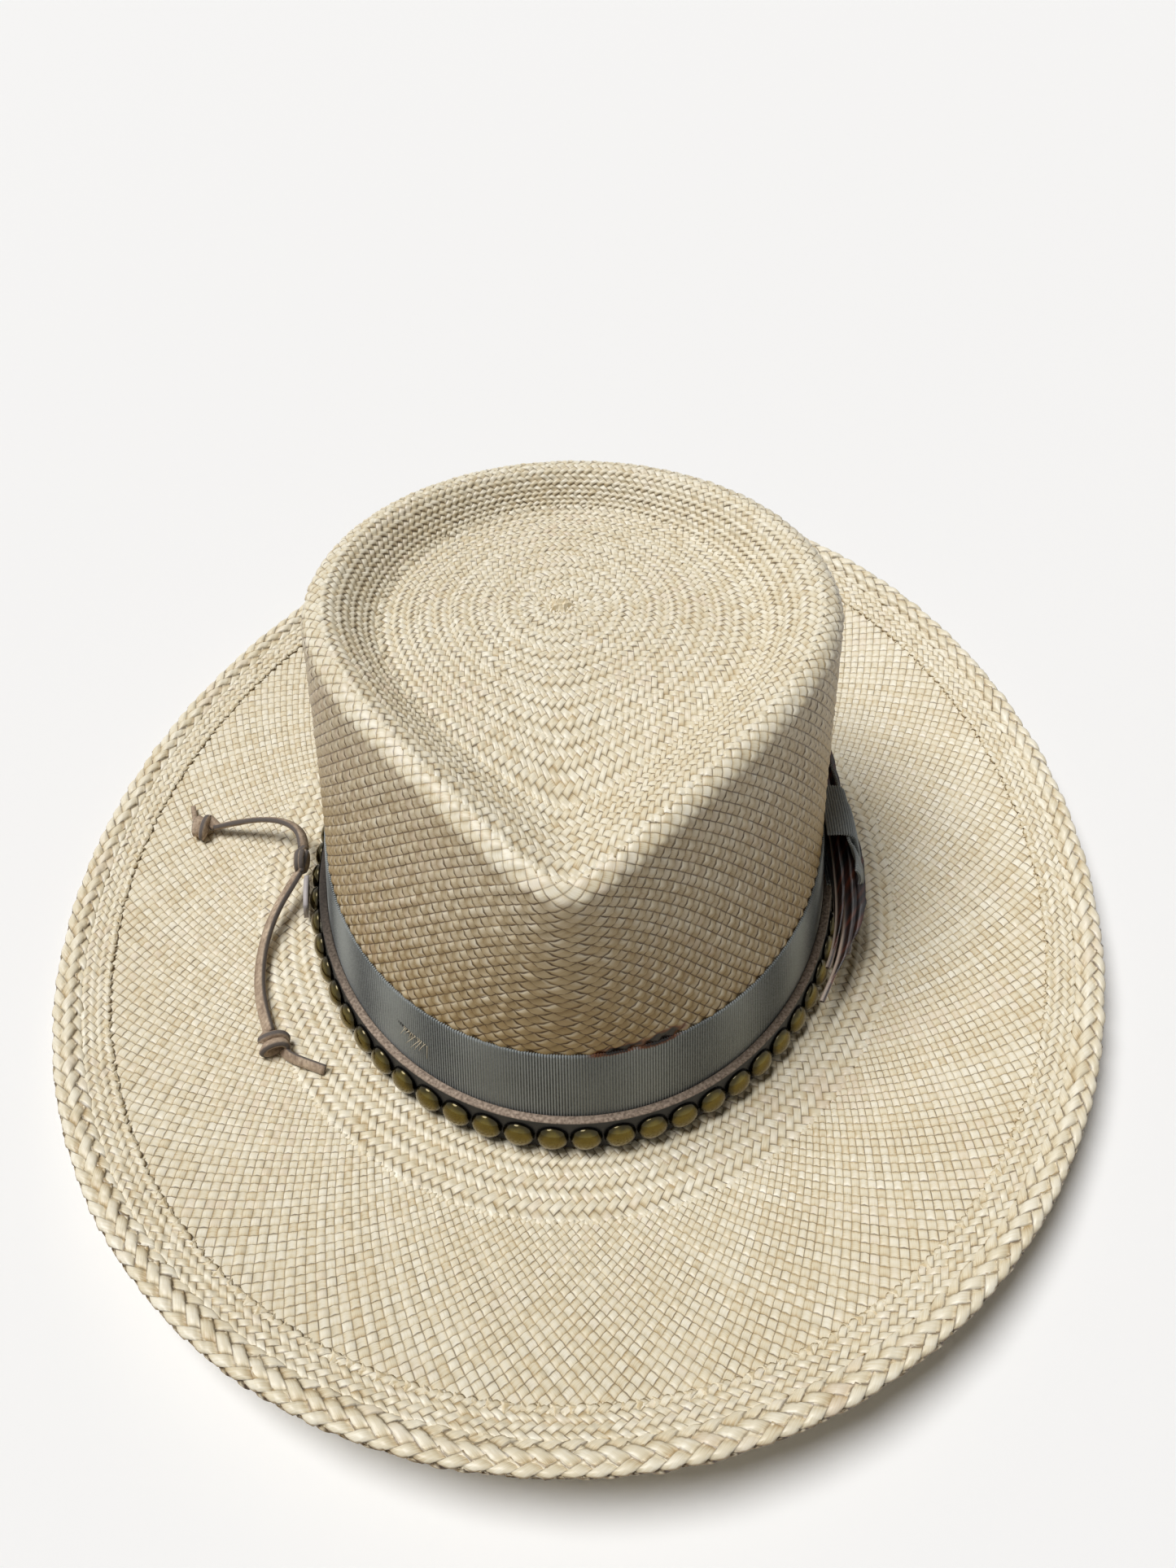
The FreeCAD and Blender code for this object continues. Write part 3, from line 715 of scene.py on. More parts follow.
def strawMaterial(name, over, period):
    # split and bleached toquilla leaf, hand woven: satin strands with fine lengthwise fibres, each its own tint
    material, add, shader = newMaterial(name, 0.4)
    lay = add("SeparateXYZ", add("UVMap", uv_map="strands")).outputs
    rule = weaveRule(add, lay[0], lay[1], 997.0, over, period)
    tint = add("TexWhiteNoise", add("CombineXYZ", rule["strand"], 0.0), noise_dimensions="2D")
    cell = add("TexWhiteNoise", add("CombineXYZ", rule["rowA"], rule["rowB"]), noise_dimensions="2D")
    # fibres about 0.2 mm apart, drawn out along the strand
    drawn = (("across", 7.0), ("run", 0.8), ("strand", 3.7))
    fibreAt = add("CombineXYZ", *(add("Math MULTIPLY", rule[key], scale) for key, scale in drawn))
    fibre = add("TexNoise", named={"Vector": fibreAt, "Scale": 1.0, "Detail": 3.0})
    # painted shade and highlight: each float is paler along its middle and darker towards the ends where it dives
    shade = add("Math MULTIPLY_ADD", add("Math POWER", rule["along"], 2.0), -0.38, 0.2)
    for grain, share in ((tint, 0.26), (cell, 0.14), (fibre, 0.62)):
        shade = add("Math MULTIPLY_ADD", grain, share, shade)
    ramp = setStops(add("ValToRGB", shade), (0.2, "#BFA67B"), (0.5, "#E3D6B7"), (0.95, "#FBF5E3"))
    # worn ochre flecks where the leaf was thicker
    place = add("TexCoord").outputs["Object"]
    blotch = add("TexNoise", named={"Vector": place, "Scale": 28.0, "Detail": 3.0})
    blotch = add("MapRange", blotch, 0.45, 0.75, 0.0, 0.35)
    fleck = add("Math MULTIPLY", add("Math GREATER_THAN", tint, 0.8), blotch)
    toned = add("Mix", data_type="RGBA", named={0: fleck, 6: ramp, 7: linear("#C49A6C")})
    # painted shade: darker lines in the gap beside each strand and where it dives, darkest where the two meet
    gap, dive = (add("MapRange", rule[key], 0.81, 1.0, 0.0, 1.0) for key in ("across", "along"))
    line, crossingShade = add("Math MAXIMUM", gap, dive), add("Math MULTIPLY", gap, dive)
    # painted shade: steep sides are multiplied by a brown tint, less so high on the crown, and their gaps are
    # painted darker
    facing = add("SeparateXYZ", add("NewGeometry").outputs["Normal"])
    steep = add("MapRange", add("Math ABSOLUTE", facing.outputs[2]), 0.2, 0.66, 1.0, 0.0)
    low = add("MapRange", add("SeparateXYZ", place).outputs[2], 0.112, 0.04, 0.55, 1.0)
    steep = add("Math MULTIPLY", steep, low)
    paintedWallShade = add("Mix", data_type="RGBA", blend_type="MULTIPLY",
              named={0: steep, 6: toned.outputs[2], 7: linear("#AA946C")})
    depth = add("Math MULTIPLY_ADD", steep, 0.6, add("Math MULTIPLY_ADD", cell, 0.75, 0.2))
    # painted shade in the gaps, deeper on the steep sides and varied from cell to cell
    line = add("Math MAXIMUM", add("Math MULTIPLY", line, depth), crossingShade)
    dark = add("Mix", data_type="RGBA", named={0: line, 6: paintedWallShade.outputs[2], 7: linear("#4C351B")})
    bump = add("Bump", named={"Height": fibre, "Strength": 0.35, "Distance": 0.00012})
    feed(shader, {"Base Color": burnt(add, place, dark.outputs[2]), "Normal": bump})
    return material


weaves = {
    "plain": {"Over": 1.0, "Period": 2.0},
    "twill": {"Over": 2.0, "Period": 4.0},
}
for name, rule in weaves.items():
    rule["Straw"] = strawMaterial(name + "ToquillaStraw", rule["Over"], rule["Period"])
strawTree = weaveTree(weaves["plain"]["Straw"])


def strawPiece(name, surface, count, reach, depth, weave, relief=0.62, uneven=0.16, **sheet):
    obj = weaveSheet(name, surface, count, reach, depth, **sheet)
    runTree(obj, strawTree, {"Relief": relief, "Uneven": uneven, "Count": float(count), **weaves[weave]})
    print(name, len(obj.data.polygons), "faces")
    return obj


crownRings = {
    "counts": (172, 132, 100, 74, 54, 40, 28, 18),   # strands, which the weaver adds ring by ring
    "cell": 2.0,                                    # widest strand spacing of a ring
    "middle": 2.4,                                  # radius left for the first knot of straws
}


def crownTopPieces():
    rim = crownTop(around, 0.0)
    rimRadius = lengthAlong(rim)[-1] / turn / mm
    counts = crownRings["counts"]
    starts = [min(count * crownRings["cell"] * math.sqrt(2) / turn, rimRadius) for count in counts]
    ends = starts[1:] + [crownRings["middle"]]
    pieces = []
    for count, start, end in zip(counts, starts, ends):
        reach = (1 - start / rimRadius, 1 - end / rimRadius)
        pieces.append(strawPiece("crownRing" + str(count), crownTop, count, reach, 1.2, "twill", 0.55, 0.2))
    return pieces


strawPieces = {
    "brim_edge": [
        strawPiece("edgeRoll", rollSkin, 190, (0.0, 1.0), 0.8, "twill", 1.0, 0.4, fine=4, steep=0.6),
        strawPiece("edgeHem", hemTop, 330, (0.0, 1.0), 2.2, "twill", 0.5, 0.3, steep=0.7),
    ],
    "brim": [
        strawPiece("brimOuter", brimTop, 256, (0.0, 0.66), 1.3, "plain", part=(0, 2)),
        strawPiece("brimMiddle", brimTop, 256, (0.0, 0.66), 1.3, "plain", part=(1, 2)),
        strawPiece("brimRing", brimTop, 208, (0.66, 1.0), 1.3, "twill"),
    ],
    "crown_side": [
        strawPiece("crownWall", crownSide, 124, (0.014, 1.0), 1.3, "plain", 0.65, part=(0, 2)),
        strawPiece("crownUpper", crownSide, 124, (0.014, 1.0), 1.3, "plain", 0.65, part=(1, 2)),
    ],
    "crown_tip": crownTopPieces(),
}


def placedPoints(name, places, **directions):
    # loose points that carry directions for instances
    obj = newMesh(name, places, [], [])
    for key, values in directions.items():
        storeValues(obj, key, values)
    return obj


def foldTree(material):
    # folded ends of straw: flat three-sided tips, each turned and sized a little differently
    tree, add, given = newTree("foldedStraw", {"Size": 2.0, "Height": 0.5, "Wild": 0.5, "Seed": 5,
                                               "Straw": material})
    tip = add("GeometryNodeMeshCone", named={"Vertices": 3, "Radius Top": 0.35, "Radius Bottom": 1.0,
                                             "Depth": 1.0})
    sizes = add("CombineXYZ", given["Size"], given["Size"], given["Height"])
    sizes = add("VectorMath SCALE", sizes, named={"Scale": mm})
    shaped = add("GeometryNodeTransform", tip, named={"Scale": sizes})
    shaped = add("GeometryNodeSetShadeSmooth", shaped, named={"Shade Smooth": False})
    low = add("Math MULTIPLY", given["Wild"], -1.0)
    spin, growth = (add("FunctionNodeRandomValue", data_type="FLOAT",
                        named={2: least, 3: most, "Seed": given["Seed"]}).outputs[1]
                    for least, most in ((low, given["Wild"]), (0.75, 1.2)))
    placed = placeShapes(add, given["Geometry"], shaped, add("CombineXYZ", 0.0, 0.0, spin), growth)
    endTree(add, placed, given["Straw"])
    return tree


folds = {
    "pitch": 4.1, "inset": 16.3, "sink": 0.1, "size": 2.1, "height": 0.55, "wild": 0.6,
    "starPetals": 5, "starReach": 1.7, "starLean": 0.15, "starSize": 2.7, "starHeight": 1.1, "starWild": 0.5,
    "starShift": (0.0, 0.5, 0.2),
}


def foldPieces(tree):
    def spots(angle, inwards=0.0):
        return edgePoint(angle, folds["inset"] + inwards, straw["hemThickness"] / 2 - folds["sink"])

    angle = np.linspace(0, turn, 4001)
    run = lengthAlong(spots(angle))
    count = int(run[-1] / (folds["pitch"] * mm))
    angle = np.interp(np.arange(count) * run[-1] / count, run, angle)
    places = spots(angle)
    onward = spots(angle + 0.01) - places
    hem = placedPoints("hemFolds", places, facing=np.cross(onward, spots(angle, 1.0) - places), along=onward)
    runTree(hem, tree, {"Size": folds["size"], "Height": folds["height"], "Wild": folds["wild"]})
    petals = folds["starPetals"]
    angle = np.arange(petals) * turn / petals
    spokes = np.stack([np.cos(angle), np.sin(angle), 0 * angle], axis=1)
    middle = (np.array(straw["tip"]) + folds["starShift"]) * mm
    star = placedPoints("crownStar", middle + spokes * folds["starReach"] * mm,
                        facing=np.array([0.0, 0.0, 1.0]) + spokes * folds["starLean"], along=spokes)
    runTree(star, tree, {"Size": folds["starSize"], "Height": folds["starHeight"], "Wild": folds["starWild"]})
    return hem, star


def foldMaterial():
    # the same leaf folded flat: pale satin face, mottled with a deeper straw tone
    material, add, shader = newMaterial("foldedToquilla", 0.45)
    streak = add("TexNoise", named={"Vector": add("TexCoord").outputs["Object"], "Scale": 700.0, "Detail": 3.0})
    feed(shader, {"Base Color": setStops(add("ValToRGB", streak), (0.35, "#D2BF98"), (0.65, "#F1E7CE"))})
    return material


hemFolds, crownStar = foldPieces(foldTree(foldMaterial()))
strawPieces["brim_edge"].append(hemFolds)
strawPieces["crown_tip"].append(crownStar)
print("straw woven")


# ribbon and bow

ribbon = {
    "bottom": 3.6, "top": 41.5, "standOff": 0.15, "thickness": 0.6,
    "ribPitch": 0.86,       # grosgrain has about 12 ribs to the centimetre
    "ribDepth": 0.2,
    # a small frayed slit: middle, turn and half sizes
    "tear": (-52.0, -84.5, 28.0), "tearTurn": (0.0, 0.25, -0.62), "tearSize": (8.0, 5.0, 1.5),
    "bowBottom": 15.6, "bowTop": 42.6, "bowLean": 8.0, "bowY": -7.3,
    "wrapBack": 3.6, "wrapStep": -3.6, "wrapFront": -18.3, "wrapFoot": 0.9, "wrapThickness": 0.75,
    "wrapBow": 0.35,
    "overDepth": 8.6, "underDepth": 7.7, "underTuck": 0.7, "flapBow": 0.8, "flapNarrow": 0.3, "tailBow": 0.3,
    "layerDepth": 6.4, "layerInset": 1.85, "flapLength": 14.0, "flapBulge": 1.6,
    "tailLength": 20.0, "tailFall": 3.0,
}


def ribbonMaterial(name, scorch):
    # rayon grosgrain: dull slate ribs with a faint sheen, and painted shade that darkens the colour in the
    # grooves
    material, add, shader = newMaterial(name, 0.85)
    place = add("TexCoord").outputs["Object"]
    lay = add("SeparateXYZ", add("UVMap", uv_map="lay"))
    # painted shade: the colour follows the ribs and is darker in each groove
    wave = add("Math COSINE", add("Math MULTIPLY", lay.outputs[0], turn / ribbon["ribPitch"]))
    thread = add("TexNoise", named={"Vector": place, "Scale": 1500.0, "Detail": 2.0})
    cloud = add("TexNoise", named={"Vector": place, "Scale": 40.0, "Detail": 2.0})
    mixed = add("Math MULTIPLY_ADD", wave, 0.26, 0.22)
    mixed = add("Math MULTIPLY_ADD", thread, 0.35, mixed)
    mixed = add("Math MULTIPLY_ADD", cloud, 0.3, mixed)
    colour = setStops(add("ValToRGB", mixed), (0.2, "#383D3F"), (0.85, "#A4AAAA")).outputs[0]
    if scorch:
        # painted shade: the slit is not cut through, and its opening is painted near-black
        tear = sootMask(add, place, ribbon["tear"], ribbon["tearTurn"], ribbon["tearSize"])
        torn = add("MapRange", tear, 0.2, 0.7, 0.0, 1.0)
        slit = add("Mix", data_type="RGBA", named={0: torn, 6: burnt(add, place, colour), 7: linear("#1C1A18")})
        colour = slit.outputs[2]
    bump = add("Bump", named={"Height": thread, "Strength": 0.3, "Distance": 0.00008})
    feed(shader, {"Base Color": colour, "Sheen Weight": 0.15, "Normal": bump})
    return material


def ribTree(material):
    # raises the ribs of grosgrain across the ribbon's length
    tree, add, given = newTree("grosgrainRibs", {"Pitch": 0.86, "Depth": 0.13, "Ribbon": material})
    place = add("GeometryNodeInputNamedAttribute", data_type="FLOAT_VECTOR", named={"Name": "place"})
    phase = add("Math DIVIDE", add("SeparateXYZ", place.outputs["Attribute"]), given["Pitch"])
    wave = add("Math COSINE", add("Math MULTIPLY", phase, turn))
    lift = add("Math MULTIPLY", add("Math MULTIPLY", wave, given["Depth"]), mm)
    endTree(add, raiseSkin(add, given["Geometry"], lift), given["Ribbon"])
    return tree


def evenAngles(z, grow, columns):
    # angles that space columns evenly round the crown, and the way round it there
    angle = np.linspace(0, turn, 3001)
    run = lengthAlong(wallPoint(angle, z, grow))
    return np.interp(np.arange(columns) * run[-1] / columns, run, angle), run[-1] / mm


def ringPiece(name, section, columns, material):
    # a band round the crown; section lists (stand-off, height) round its outline
    angles = evenAngles(section[0][1], section[0][0], columns)[0]
    grid = np.stack([wallPoint(angles, z, grow) for grow, z in section], axis=1)
    return gridPiece(name, grid, material, loopLong=True)


def stripPiece(name, path, across, thickness, material, bow=0.0, narrow=1.0):
    # a length of ribbon: its face runs along path and across; the back lies thickness behind
    # narrow is the share of its width left at the far end
    whole = Vector(across) * mm
    grid = []
    for i, point in enumerate(path):
        across = whole * (1 - (1 - narrow) * float(smoothStep(0.45, 1.0, i / (len(path) - 1))))
        along = heading(path, i)
        normal = along.cross(across).normalized()
        face = [point + across * share + normal * (bow * mm * 4 * share * (1 - share))
                for share in (0, 0.03, 0.2, 0.4, 0.6, 0.8, 0.97, 1)]
        grid.append(face + [spot - normal * (thickness * mm) for spot in face[::-1]])
    return gridPiece(name, grid, material)


def evenPath(points, step):
    # a smooth line through given points, with a point each step
    points = [Vector(point) for point in points]
    dense = []
    for i in range(len(points) - 1):
        p0, p1 = points[max(i - 1, 0)], points[i]
        p2, p3 = points[i + 1], points[min(i + 2, len(points) - 1)]
        for k in range(24):
            t = k / 24
            dense.append(0.5 * (2 * p1 + (p2 - p0) * t + (2 * p0 - 5 * p1 + 4 * p2 - p3) * t * t
                                + (3 * p1 - p0 - 3 * p2 + p3) * t ** 3))
    dense.append(points[-1])
    run = np.concatenate([[0], np.cumsum([(b - a).length for a, b in zip(dense, dense[1:])])])
    count = int(run[-1] / step)
    line = np.array(dense)
    spots = np.linspace(0, run[-1], count + 1)
    return [Vector([np.interp(spot, run, line[:, axis]) for axis in range(3)]) * mm for spot in spots]


def bowX(z, depth):
    lean = ribbon["bowLean"] * (ribbon["bowTop"] - z) / (ribbon["bowTop"] - ribbon["bowBottom"])
    face = ribbon["standOff"] + ribbon["thickness"]
    return wallPoint(np.array(0.0), ribbon["bowTop"], face)[0] / mm + depth + lean


def bowPieces(tree, material):
    step = ribbon["ribPitch"] / 4
    top, bottom = ribbon["bowTop"], ribbon["bowBottom"]
    y, front, back = ribbon["bowY"], ribbon["wrapFront"], ribbon["wrapBack"]
    pieces = {"bow_wrap": [], "bow_flap": [], "bow_tail": []}
    inner, innerLow = (wallPoint(np.array(0.0), z, ribbon["wrapFoot"])[0] / mm for z in (top, bottom))
    for name, y0, y1, depth, tuck in (
            ("bowWrapUnder", back, front + 1.0, ribbon["underDepth"], ribbon["underTuck"]),
            ("bowWrapOver", ribbon["wrapStep"], front, ribbon["overDepth"], 0.0)):
        bend = depth * 0.4
        z1, z0 = top - tuck, bottom + tuck
        outline = [(inner, z1), (bowX(z1, depth) - bend, z1), (bowX(z1, depth) - bend * 0.18, z1 - bend * 0.3),
                   (bowX(z1 - bend, depth), z1 - bend), (bowX((z1 + z0) / 2, depth), (z1 + z0) / 2),
                   (bowX(z0 + bend, depth), z0 + bend), (bowX(z0, depth) - bend * 0.2, z0 + bend * 0.3),
                   (bowX(z0, depth) - bend, z0), (innerLow, z0)]
        route = evenPath([(x, y1, z) for x, z in outline], step)
        pieces["bow_wrap"].append(stripPiece(name, route, (0, y0 - y1, 0), ribbon["wrapThickness"], material,
                                             ribbon["wrapBow"]))
    depth, inset = ribbon["layerDepth"], ribbon["layerInset"]
    z = top - inset
    across = Vector((bowX(bottom + inset, 0) - bowX(z, 0), 0, bottom + inset - z))
    bulge, length = ribbon["flapBulge"], ribbon["flapLength"]
    flap = [(0, y), (0, front), (bulge * 0.8, front - length * 0.3), (bulge, front - length * 0.6),
            (bulge * 0.4, front - length)]
    fall, length = ribbon["tailFall"], ribbon["tailLength"]
    tail = [(-fall, back + length), (-fall * 0.35, back + length * 0.5), (0, back), (0, y + 0.2)]
    for node, name, line, bow, narrow in (("bow_flap", "bowFlap", flap, ribbon["flapBow"], ribbon["flapNarrow"]),
                                          ("bow_tail", "bowTail", tail, ribbon["tailBow"], 1.0)):
        route = evenPath([(bowX(z, depth + d), at, z) for d, at in line], step)
        pieces[node].append(stripPiece(name, route, across, ribbon["thickness"], material, bow, narrow))
    for piece in sum(pieces.values(), []):
        runTree(piece, tree, {"Pitch": ribbon["ribPitch"], "Depth": ribbon["ribDepth"]})
    return pieces


def bandRibbon(tree, material):
    face, back = ribbon["standOff"] + ribbon["thickness"], ribbon["standOff"]
    low, high = ribbon["bottom"], ribbon["top"]
    section = [(face, low)] + [(face, low + (high - low) * share) for share in (0.03, 0.25, 0.5, 0.75, 0.97)]
    section += [(face, high), (back, high), (back, (low + high) / 2), (back, low)]
    ribs = round(evenAngles(low, face, 1)[1] / ribbon["ribPitch"])
    columns = ribs * 4
    obj = ringPiece("ribbonBand", section, columns, material)
    total = obj.data.attributes["place"].data[len(section) * (columns - 1)].vector[0] * columns / (columns - 1)
    return runTree(obj, tree, {"Pitch": total / ribs, "Depth": ribbon["ribDepth"]})


def threadMaterial():
    # waxed polyester thread: pale, twisted, a little glossy
    material, add, shader = newMaterial("waxedThread", 0.5)
    twist = add("TexNoise", named={"Vector": add("TexCoord").outputs["Object"], "Scale": 2500.0})
    feed(shader, {"Base Color": setStops(add("ValToRGB", twist), (0.0, "#A8977A"), (1.0, "#E4D9C2"))})
    return material


frays = {
    "count": 16, "spread": 11.0, "along": (0.78, -0.5, -0.12), "wallDraft": 3.5,
    "outwards": (-0.6, -0.8, 0.0), "droop": (0.0, 0.0, -0.9), "size": (1.2, 3.2), "levels": 4,
    "halfWidth": 0.2, "taper": 0.6, "corners": ((1, 0, 0), (-0.5, 0.8, 0.3), (-0.5, -0.8, -0.3)),
}


def frayedPiece():
    # loose warp ends that stand out of the slit
    rng = np.random.default_rng(11)
    levels, sides = frays["levels"], len(frays["corners"])
    points, faces = [], []
    for strand in range(frays["count"]):
        shift = (strand / (frays["count"] - 1) - 0.5) * frays["spread"]
        foot = Vector([middle + shift * way for middle, way in zip(ribbon["tear"], frays["along"])])
        angle = math.pi - math.asin(foot.y / (straw["crownHalfLength"] - frays["wallDraft"]))
        foot = Vector(wallPoint(np.array(angle), foot.z, ribbon["standOff"] + ribbon["thickness"])) / mm
        lean = Vector(frays["outwards"]) * rng.uniform(0.3, 0.9)
        lean += Vector((rng.uniform(-1, 1), 0, rng.uniform(-1.4, 0.6)))
        size = rng.uniform(*frays["size"])
        base = len(points)
        for level in range(levels + 1):
            t = level / levels
            spot = foot + lean * size * t + Vector(frays["droop"]) * t * t * rng.uniform(0.2, 1)
            half = frays["halfWidth"] * (1 - frays["taper"] * t)
            points += [(spot + Vector(corner) * half) * mm for corner in frays["corners"]]
        for level in range(levels):
            for k in range(sides):
                a, b = (base + level * sides + side for side in (k, (k + 1) % sides))
                faces.append([a, b, b + sides, a + sides])
        faces += [[base + 2, base + 1, base], [base + levels * sides + k for k in range(sides)]]
    starts = np.cumsum([0] + [len(face) for face in faces[:-1]])
    obj = newMesh("frayedThreads", points, sum(faces, []), starts, threadMaterial())
    fixNormals(obj)
    return obj


grosgrain = ribbonMaterial("slateGrosgrain", True)
ribs = ribTree(grosgrain)
softPieces = {"ribbon_band": [bandRibbon(ribs, grosgrain), frayedPiece()]}
softPieces.update(bowPieces(ribs, ribbonMaterial("slateGrosgrainBow", False)))
print("ribbon and bow made")


# hat belt and its brass studs

belt = {
    "bottom": 2.4, "top": 14.5, "thickness": 2.8, "standOff": 0.9, "round": 0.5,
    "studDiameter": 9.8, "studHeight": 3.1, "studPitch": 9.95, "studZ": 8.1, "studGap": 0.2,
    "endY": (-12.5, -25.5), "endZ": (4.0, 12.0), "endThickness": 1.6, "endGap": 3.75, "endPinch": 0.6,
    "columns": 480,
}


def leatherMaterial(name, darkHex, paleHex, roughness, poreScale, bumpDepth):
    # grain from small pores about 0.4 mm apart, with slow changes of tone where hands have rubbed
    material, add, shader = newMaterial(name, roughness)
    place = add("TexCoord").outputs["Object"]
    pores = add("TexVoronoi", named={"Vector": place, "Scale": poreScale})
    patch = add("TexNoise", named={"Vector": place, "Scale": 90.0, "Detail": 4.0})
    tone = setStops(add("ValToRGB", patch), (0.35, darkHex), (0.68, paleHex))
    bump = add("Bump", named={"Height": pores.outputs["Distance"], "Strength": 0.5, "Distance": bumpDepth * mm})
    feed(shader, {"Base Color": tone, "Normal": bump})
    return material, add, shader, tone


def beltMaterial():
    # vegetable-tanned strap: black finished face and a raw fibrous upper edge, whose pale colour fades to black
    # on the side by the knot
    material, add, shader, tone = leatherMaterial("blackBeltLeather", "#0B0B0A", "#1D1B19", 0.5, 2400.0, 0.06)
    place = add("TexCoord").outputs["Object"]
    nap = add("TexNoise", named={"Vector": place, "Scale": 1100.0, "Detail": 4.0})
    raw = setStops(add("ValToRGB", nap), (0.35, "#78685B"), (0.7, "#BBA896"))
    edge = add("Attribute", attribute_name="side").outputs["Fac"]
    bare = add("MapRange", add("SeparateXYZ", place), -0.086, -0.066, 0.12, 1.0)
    bare = add("Math MULTIPLY", edge, bare)
    colour = add("Mix", data_type="RGBA", named={0: bare, 6: tone, 7: raw})
    rough = add("MapRange", add("Math GREATER_THAN", edge, 0.8), 0.0, 1.0, 0.5, 0.95)
    feed(shader, {"Base Color": colour.outputs[2], "Roughness": rough})
    return material


def beltPiece():
    near, far = belt["standOff"], belt["standOff"] + belt["thickness"]
    low, high, r = belt["bottom"], belt["top"], belt["round"]
    section = [(near, low), (far - r, low), (far, low + r), (far, (low + high) / 2), (far, high - r * 0.7),
               (far - r * 0.4, high - r * 0.1), (far - r, high + 0.05), (near + r, high + 0.1), (near, high - r)]
    obj = ringPiece("hatBelt", section, belt["columns"], beltMaterial())
    storeValues(obj, "side", np.tile([0, 0, 0, 0, 0, 0.9, 1, 1, 1], belt["columns"]))
    return obj


def brassMaterial():
    # antiqued, lacquered brass: olive on top of each dome, brown-black round its foot, a wet pale glint above
    material, add, shader = newMaterial("antiqueBrass", 0.18, metallic=1.0)
    rise = add("Attribute", attribute_name="rise").outputs["Fac"]
    blotch = add("TexNoise", named={"Vector": add("TexCoord").outputs["Object"], "Scale": 330.0, "Detail": 4.0})
    worn = add("Math MULTIPLY_ADD", blotch, 0.5, rise)
    tone = setStops(add("ValToRGB", worn), (0.22, "#150F07"), (0.68, "#383010"), (1.0, "#685A24"))
    rough = add("MapRange", blotch, 0.35, 0.7, 0.12, 0.3)
    feed(shader, {"Base Color": tone, "Roughness": rough, "Coat Weight": 0.4, "Coat Roughness": 0.06})
    return material


def studTree(material):
    # one domed stud on each point, its flat back on the leather
    tree, add, given = newTree("brassStuds", {"Radius": 4.75, "Height": 3.6, "Sides": 20, "Brass": material})
    ball = add("GeometryNodeMeshUVSphere", given["Sides"], 12, 1.0)
    spot = add("SeparateXYZ", add("GeometryNodeInputPosition"))
    high = add("Math MAXIMUM", spot.outputs[2], 0.0)
    marked = add("GeometryNodeStoreNamedAttribute", ball, data_type="FLOAT", domain="POINT",
                 named={"Name": "rise", "Value": high})
    x = add("Math MULTIPLY", spot.outputs[0], given["Radius"])
    y = add("Math MULTIPLY", spot.outputs[1], given["Radius"])
    z = add("Math MULTIPLY", high, given["Height"])
    shape = add("VectorMath SCALE", add("CombineXYZ", x, y, z), named={"Scale": mm})
    dome = add("GeometryNodeSetPosition", marked, named={"Position": shape})
    endTree(add, placeShapes(add, given["Geometry"], dome), given["Brass"])
    return tree


def studPiece():
    grow = belt["standOff"] + belt["thickness"] + belt["studGap"]
    length = evenAngles(belt["studZ"], grow, 1)[1]
    angles = evenAngles(belt["studZ"], grow, int(length / belt["studPitch"]))[0]
    places = wallPoint(angles, belt["studZ"], grow)
    facing = wallPoint(angles, belt["studZ"], grow + 1) - places
    facing[:, 2] = straw["draft"] / straw["ribbonTop"] * mm
    obj = placedPoints("brassStuds", places, facing=facing)
    runTree(obj, studTree(brassMaterial()), {"Radius": belt["studDiameter"] / 2, "Height": belt["studHeight"]})
    obj.data.polygons.foreach_set("use_smooth", np.full(len(obj.data.polygons), True))
    return obj


def beltEndPiece():
    near = belt["standOff"] + belt["thickness"] + belt["studGap"] + belt["endGap"]
    far = near + belt["endThickness"]
    halfLength = straw["crownHalfLength"] + near
    line = np.linspace(*belt["endY"], 28)
    grid = []
    for i, y in enumerate(line):
        angle = np.array(math.pi - math.asin(y / halfLength))
        pinch = belt["endPinch"] * (i / (len(line) - 1)) ** 2
        low, high = belt["endZ"][0] + pinch, belt["endZ"][1] - pinch
        middle = (low + high) / 2
        section = [(near, low), (far, low + 0.2), (far, middle), (far, high - 0.2), (near, high), (near, middle)]
        grid.append([wallPoint(angle, z, out) for out, z in section])
    leather = leatherMaterial("paleGreyLeather", "#8F8888", "#B9B2B1", 0.6, 1800.0, 0.05)[0]
    return gridPiece("beltEnd", grid, leather)


def tieKnot():
    # the lace passes twice round itself beside the last stud
    x, y, z = laces["tie"]
    route = [(x - 0.4 + 1.6 * shift, y + 2.6 * math.cos(angle), z + 2.5 * math.sin(angle))
             for angle, shift in coil(30, 0.2, 1.9)]
    route = [(x, y + 4.6, z + 0.6)] + route + [(x - 0.4, y - 4.6, z - 0.6)]
    return lacePiece("tieKnot", splinePoints("tieRoute", route), laceLeather, Vector((1, 0, 0)))


softPieces["hat_belt"] = [beltPiece()]
softPieces["brass_studs"] = [studPiece()]
softPieces["belt_end"] = [beltEndPiece()]
softPieces["belt_knot"] = [tieKnot()]
print("belt and studs made")


# feathers tucked through the bow

plumes = {
    "route": [(77.5, -63.5, 14.0), (84.0, -50.0, 18.0), (87.2, -36.0, 21.5), (87.8, -20.0, 25.5),
              (87.0, -4.0, 30.5), (85.2, 12.0, 36.5), (82.2, 27.0, 44.0), (78.0, 40.0, 52.0)],
    "halfWidth": 5.4, "quillRadius": 0.85, "vaneThickness": 0.5, "cup": 0.1, "ragged": 0.06,
    # width of the vane along the feather, as (place, share of the half width)
    "stations": [(0.0, 0.0), (0.07, 0.0), (0.15, 0.5), (0.3, 0.9), (0.6, 1.0), (0.8, 0.8), (0.92, 0.5),
                 (1.0, 0.04)],
    # outwards, upwards, where it starts on the route, share of the route, seed, lean
    "Long": (0, 0, 0.0, 1.0, 1, 0.85),
    "Middle": (-2.5, 1.5, 0.1, 0.8, 2, 0.5),
    "Short": (2.5, -1.5, 0.16, 0.5, 3, 1.1),
}


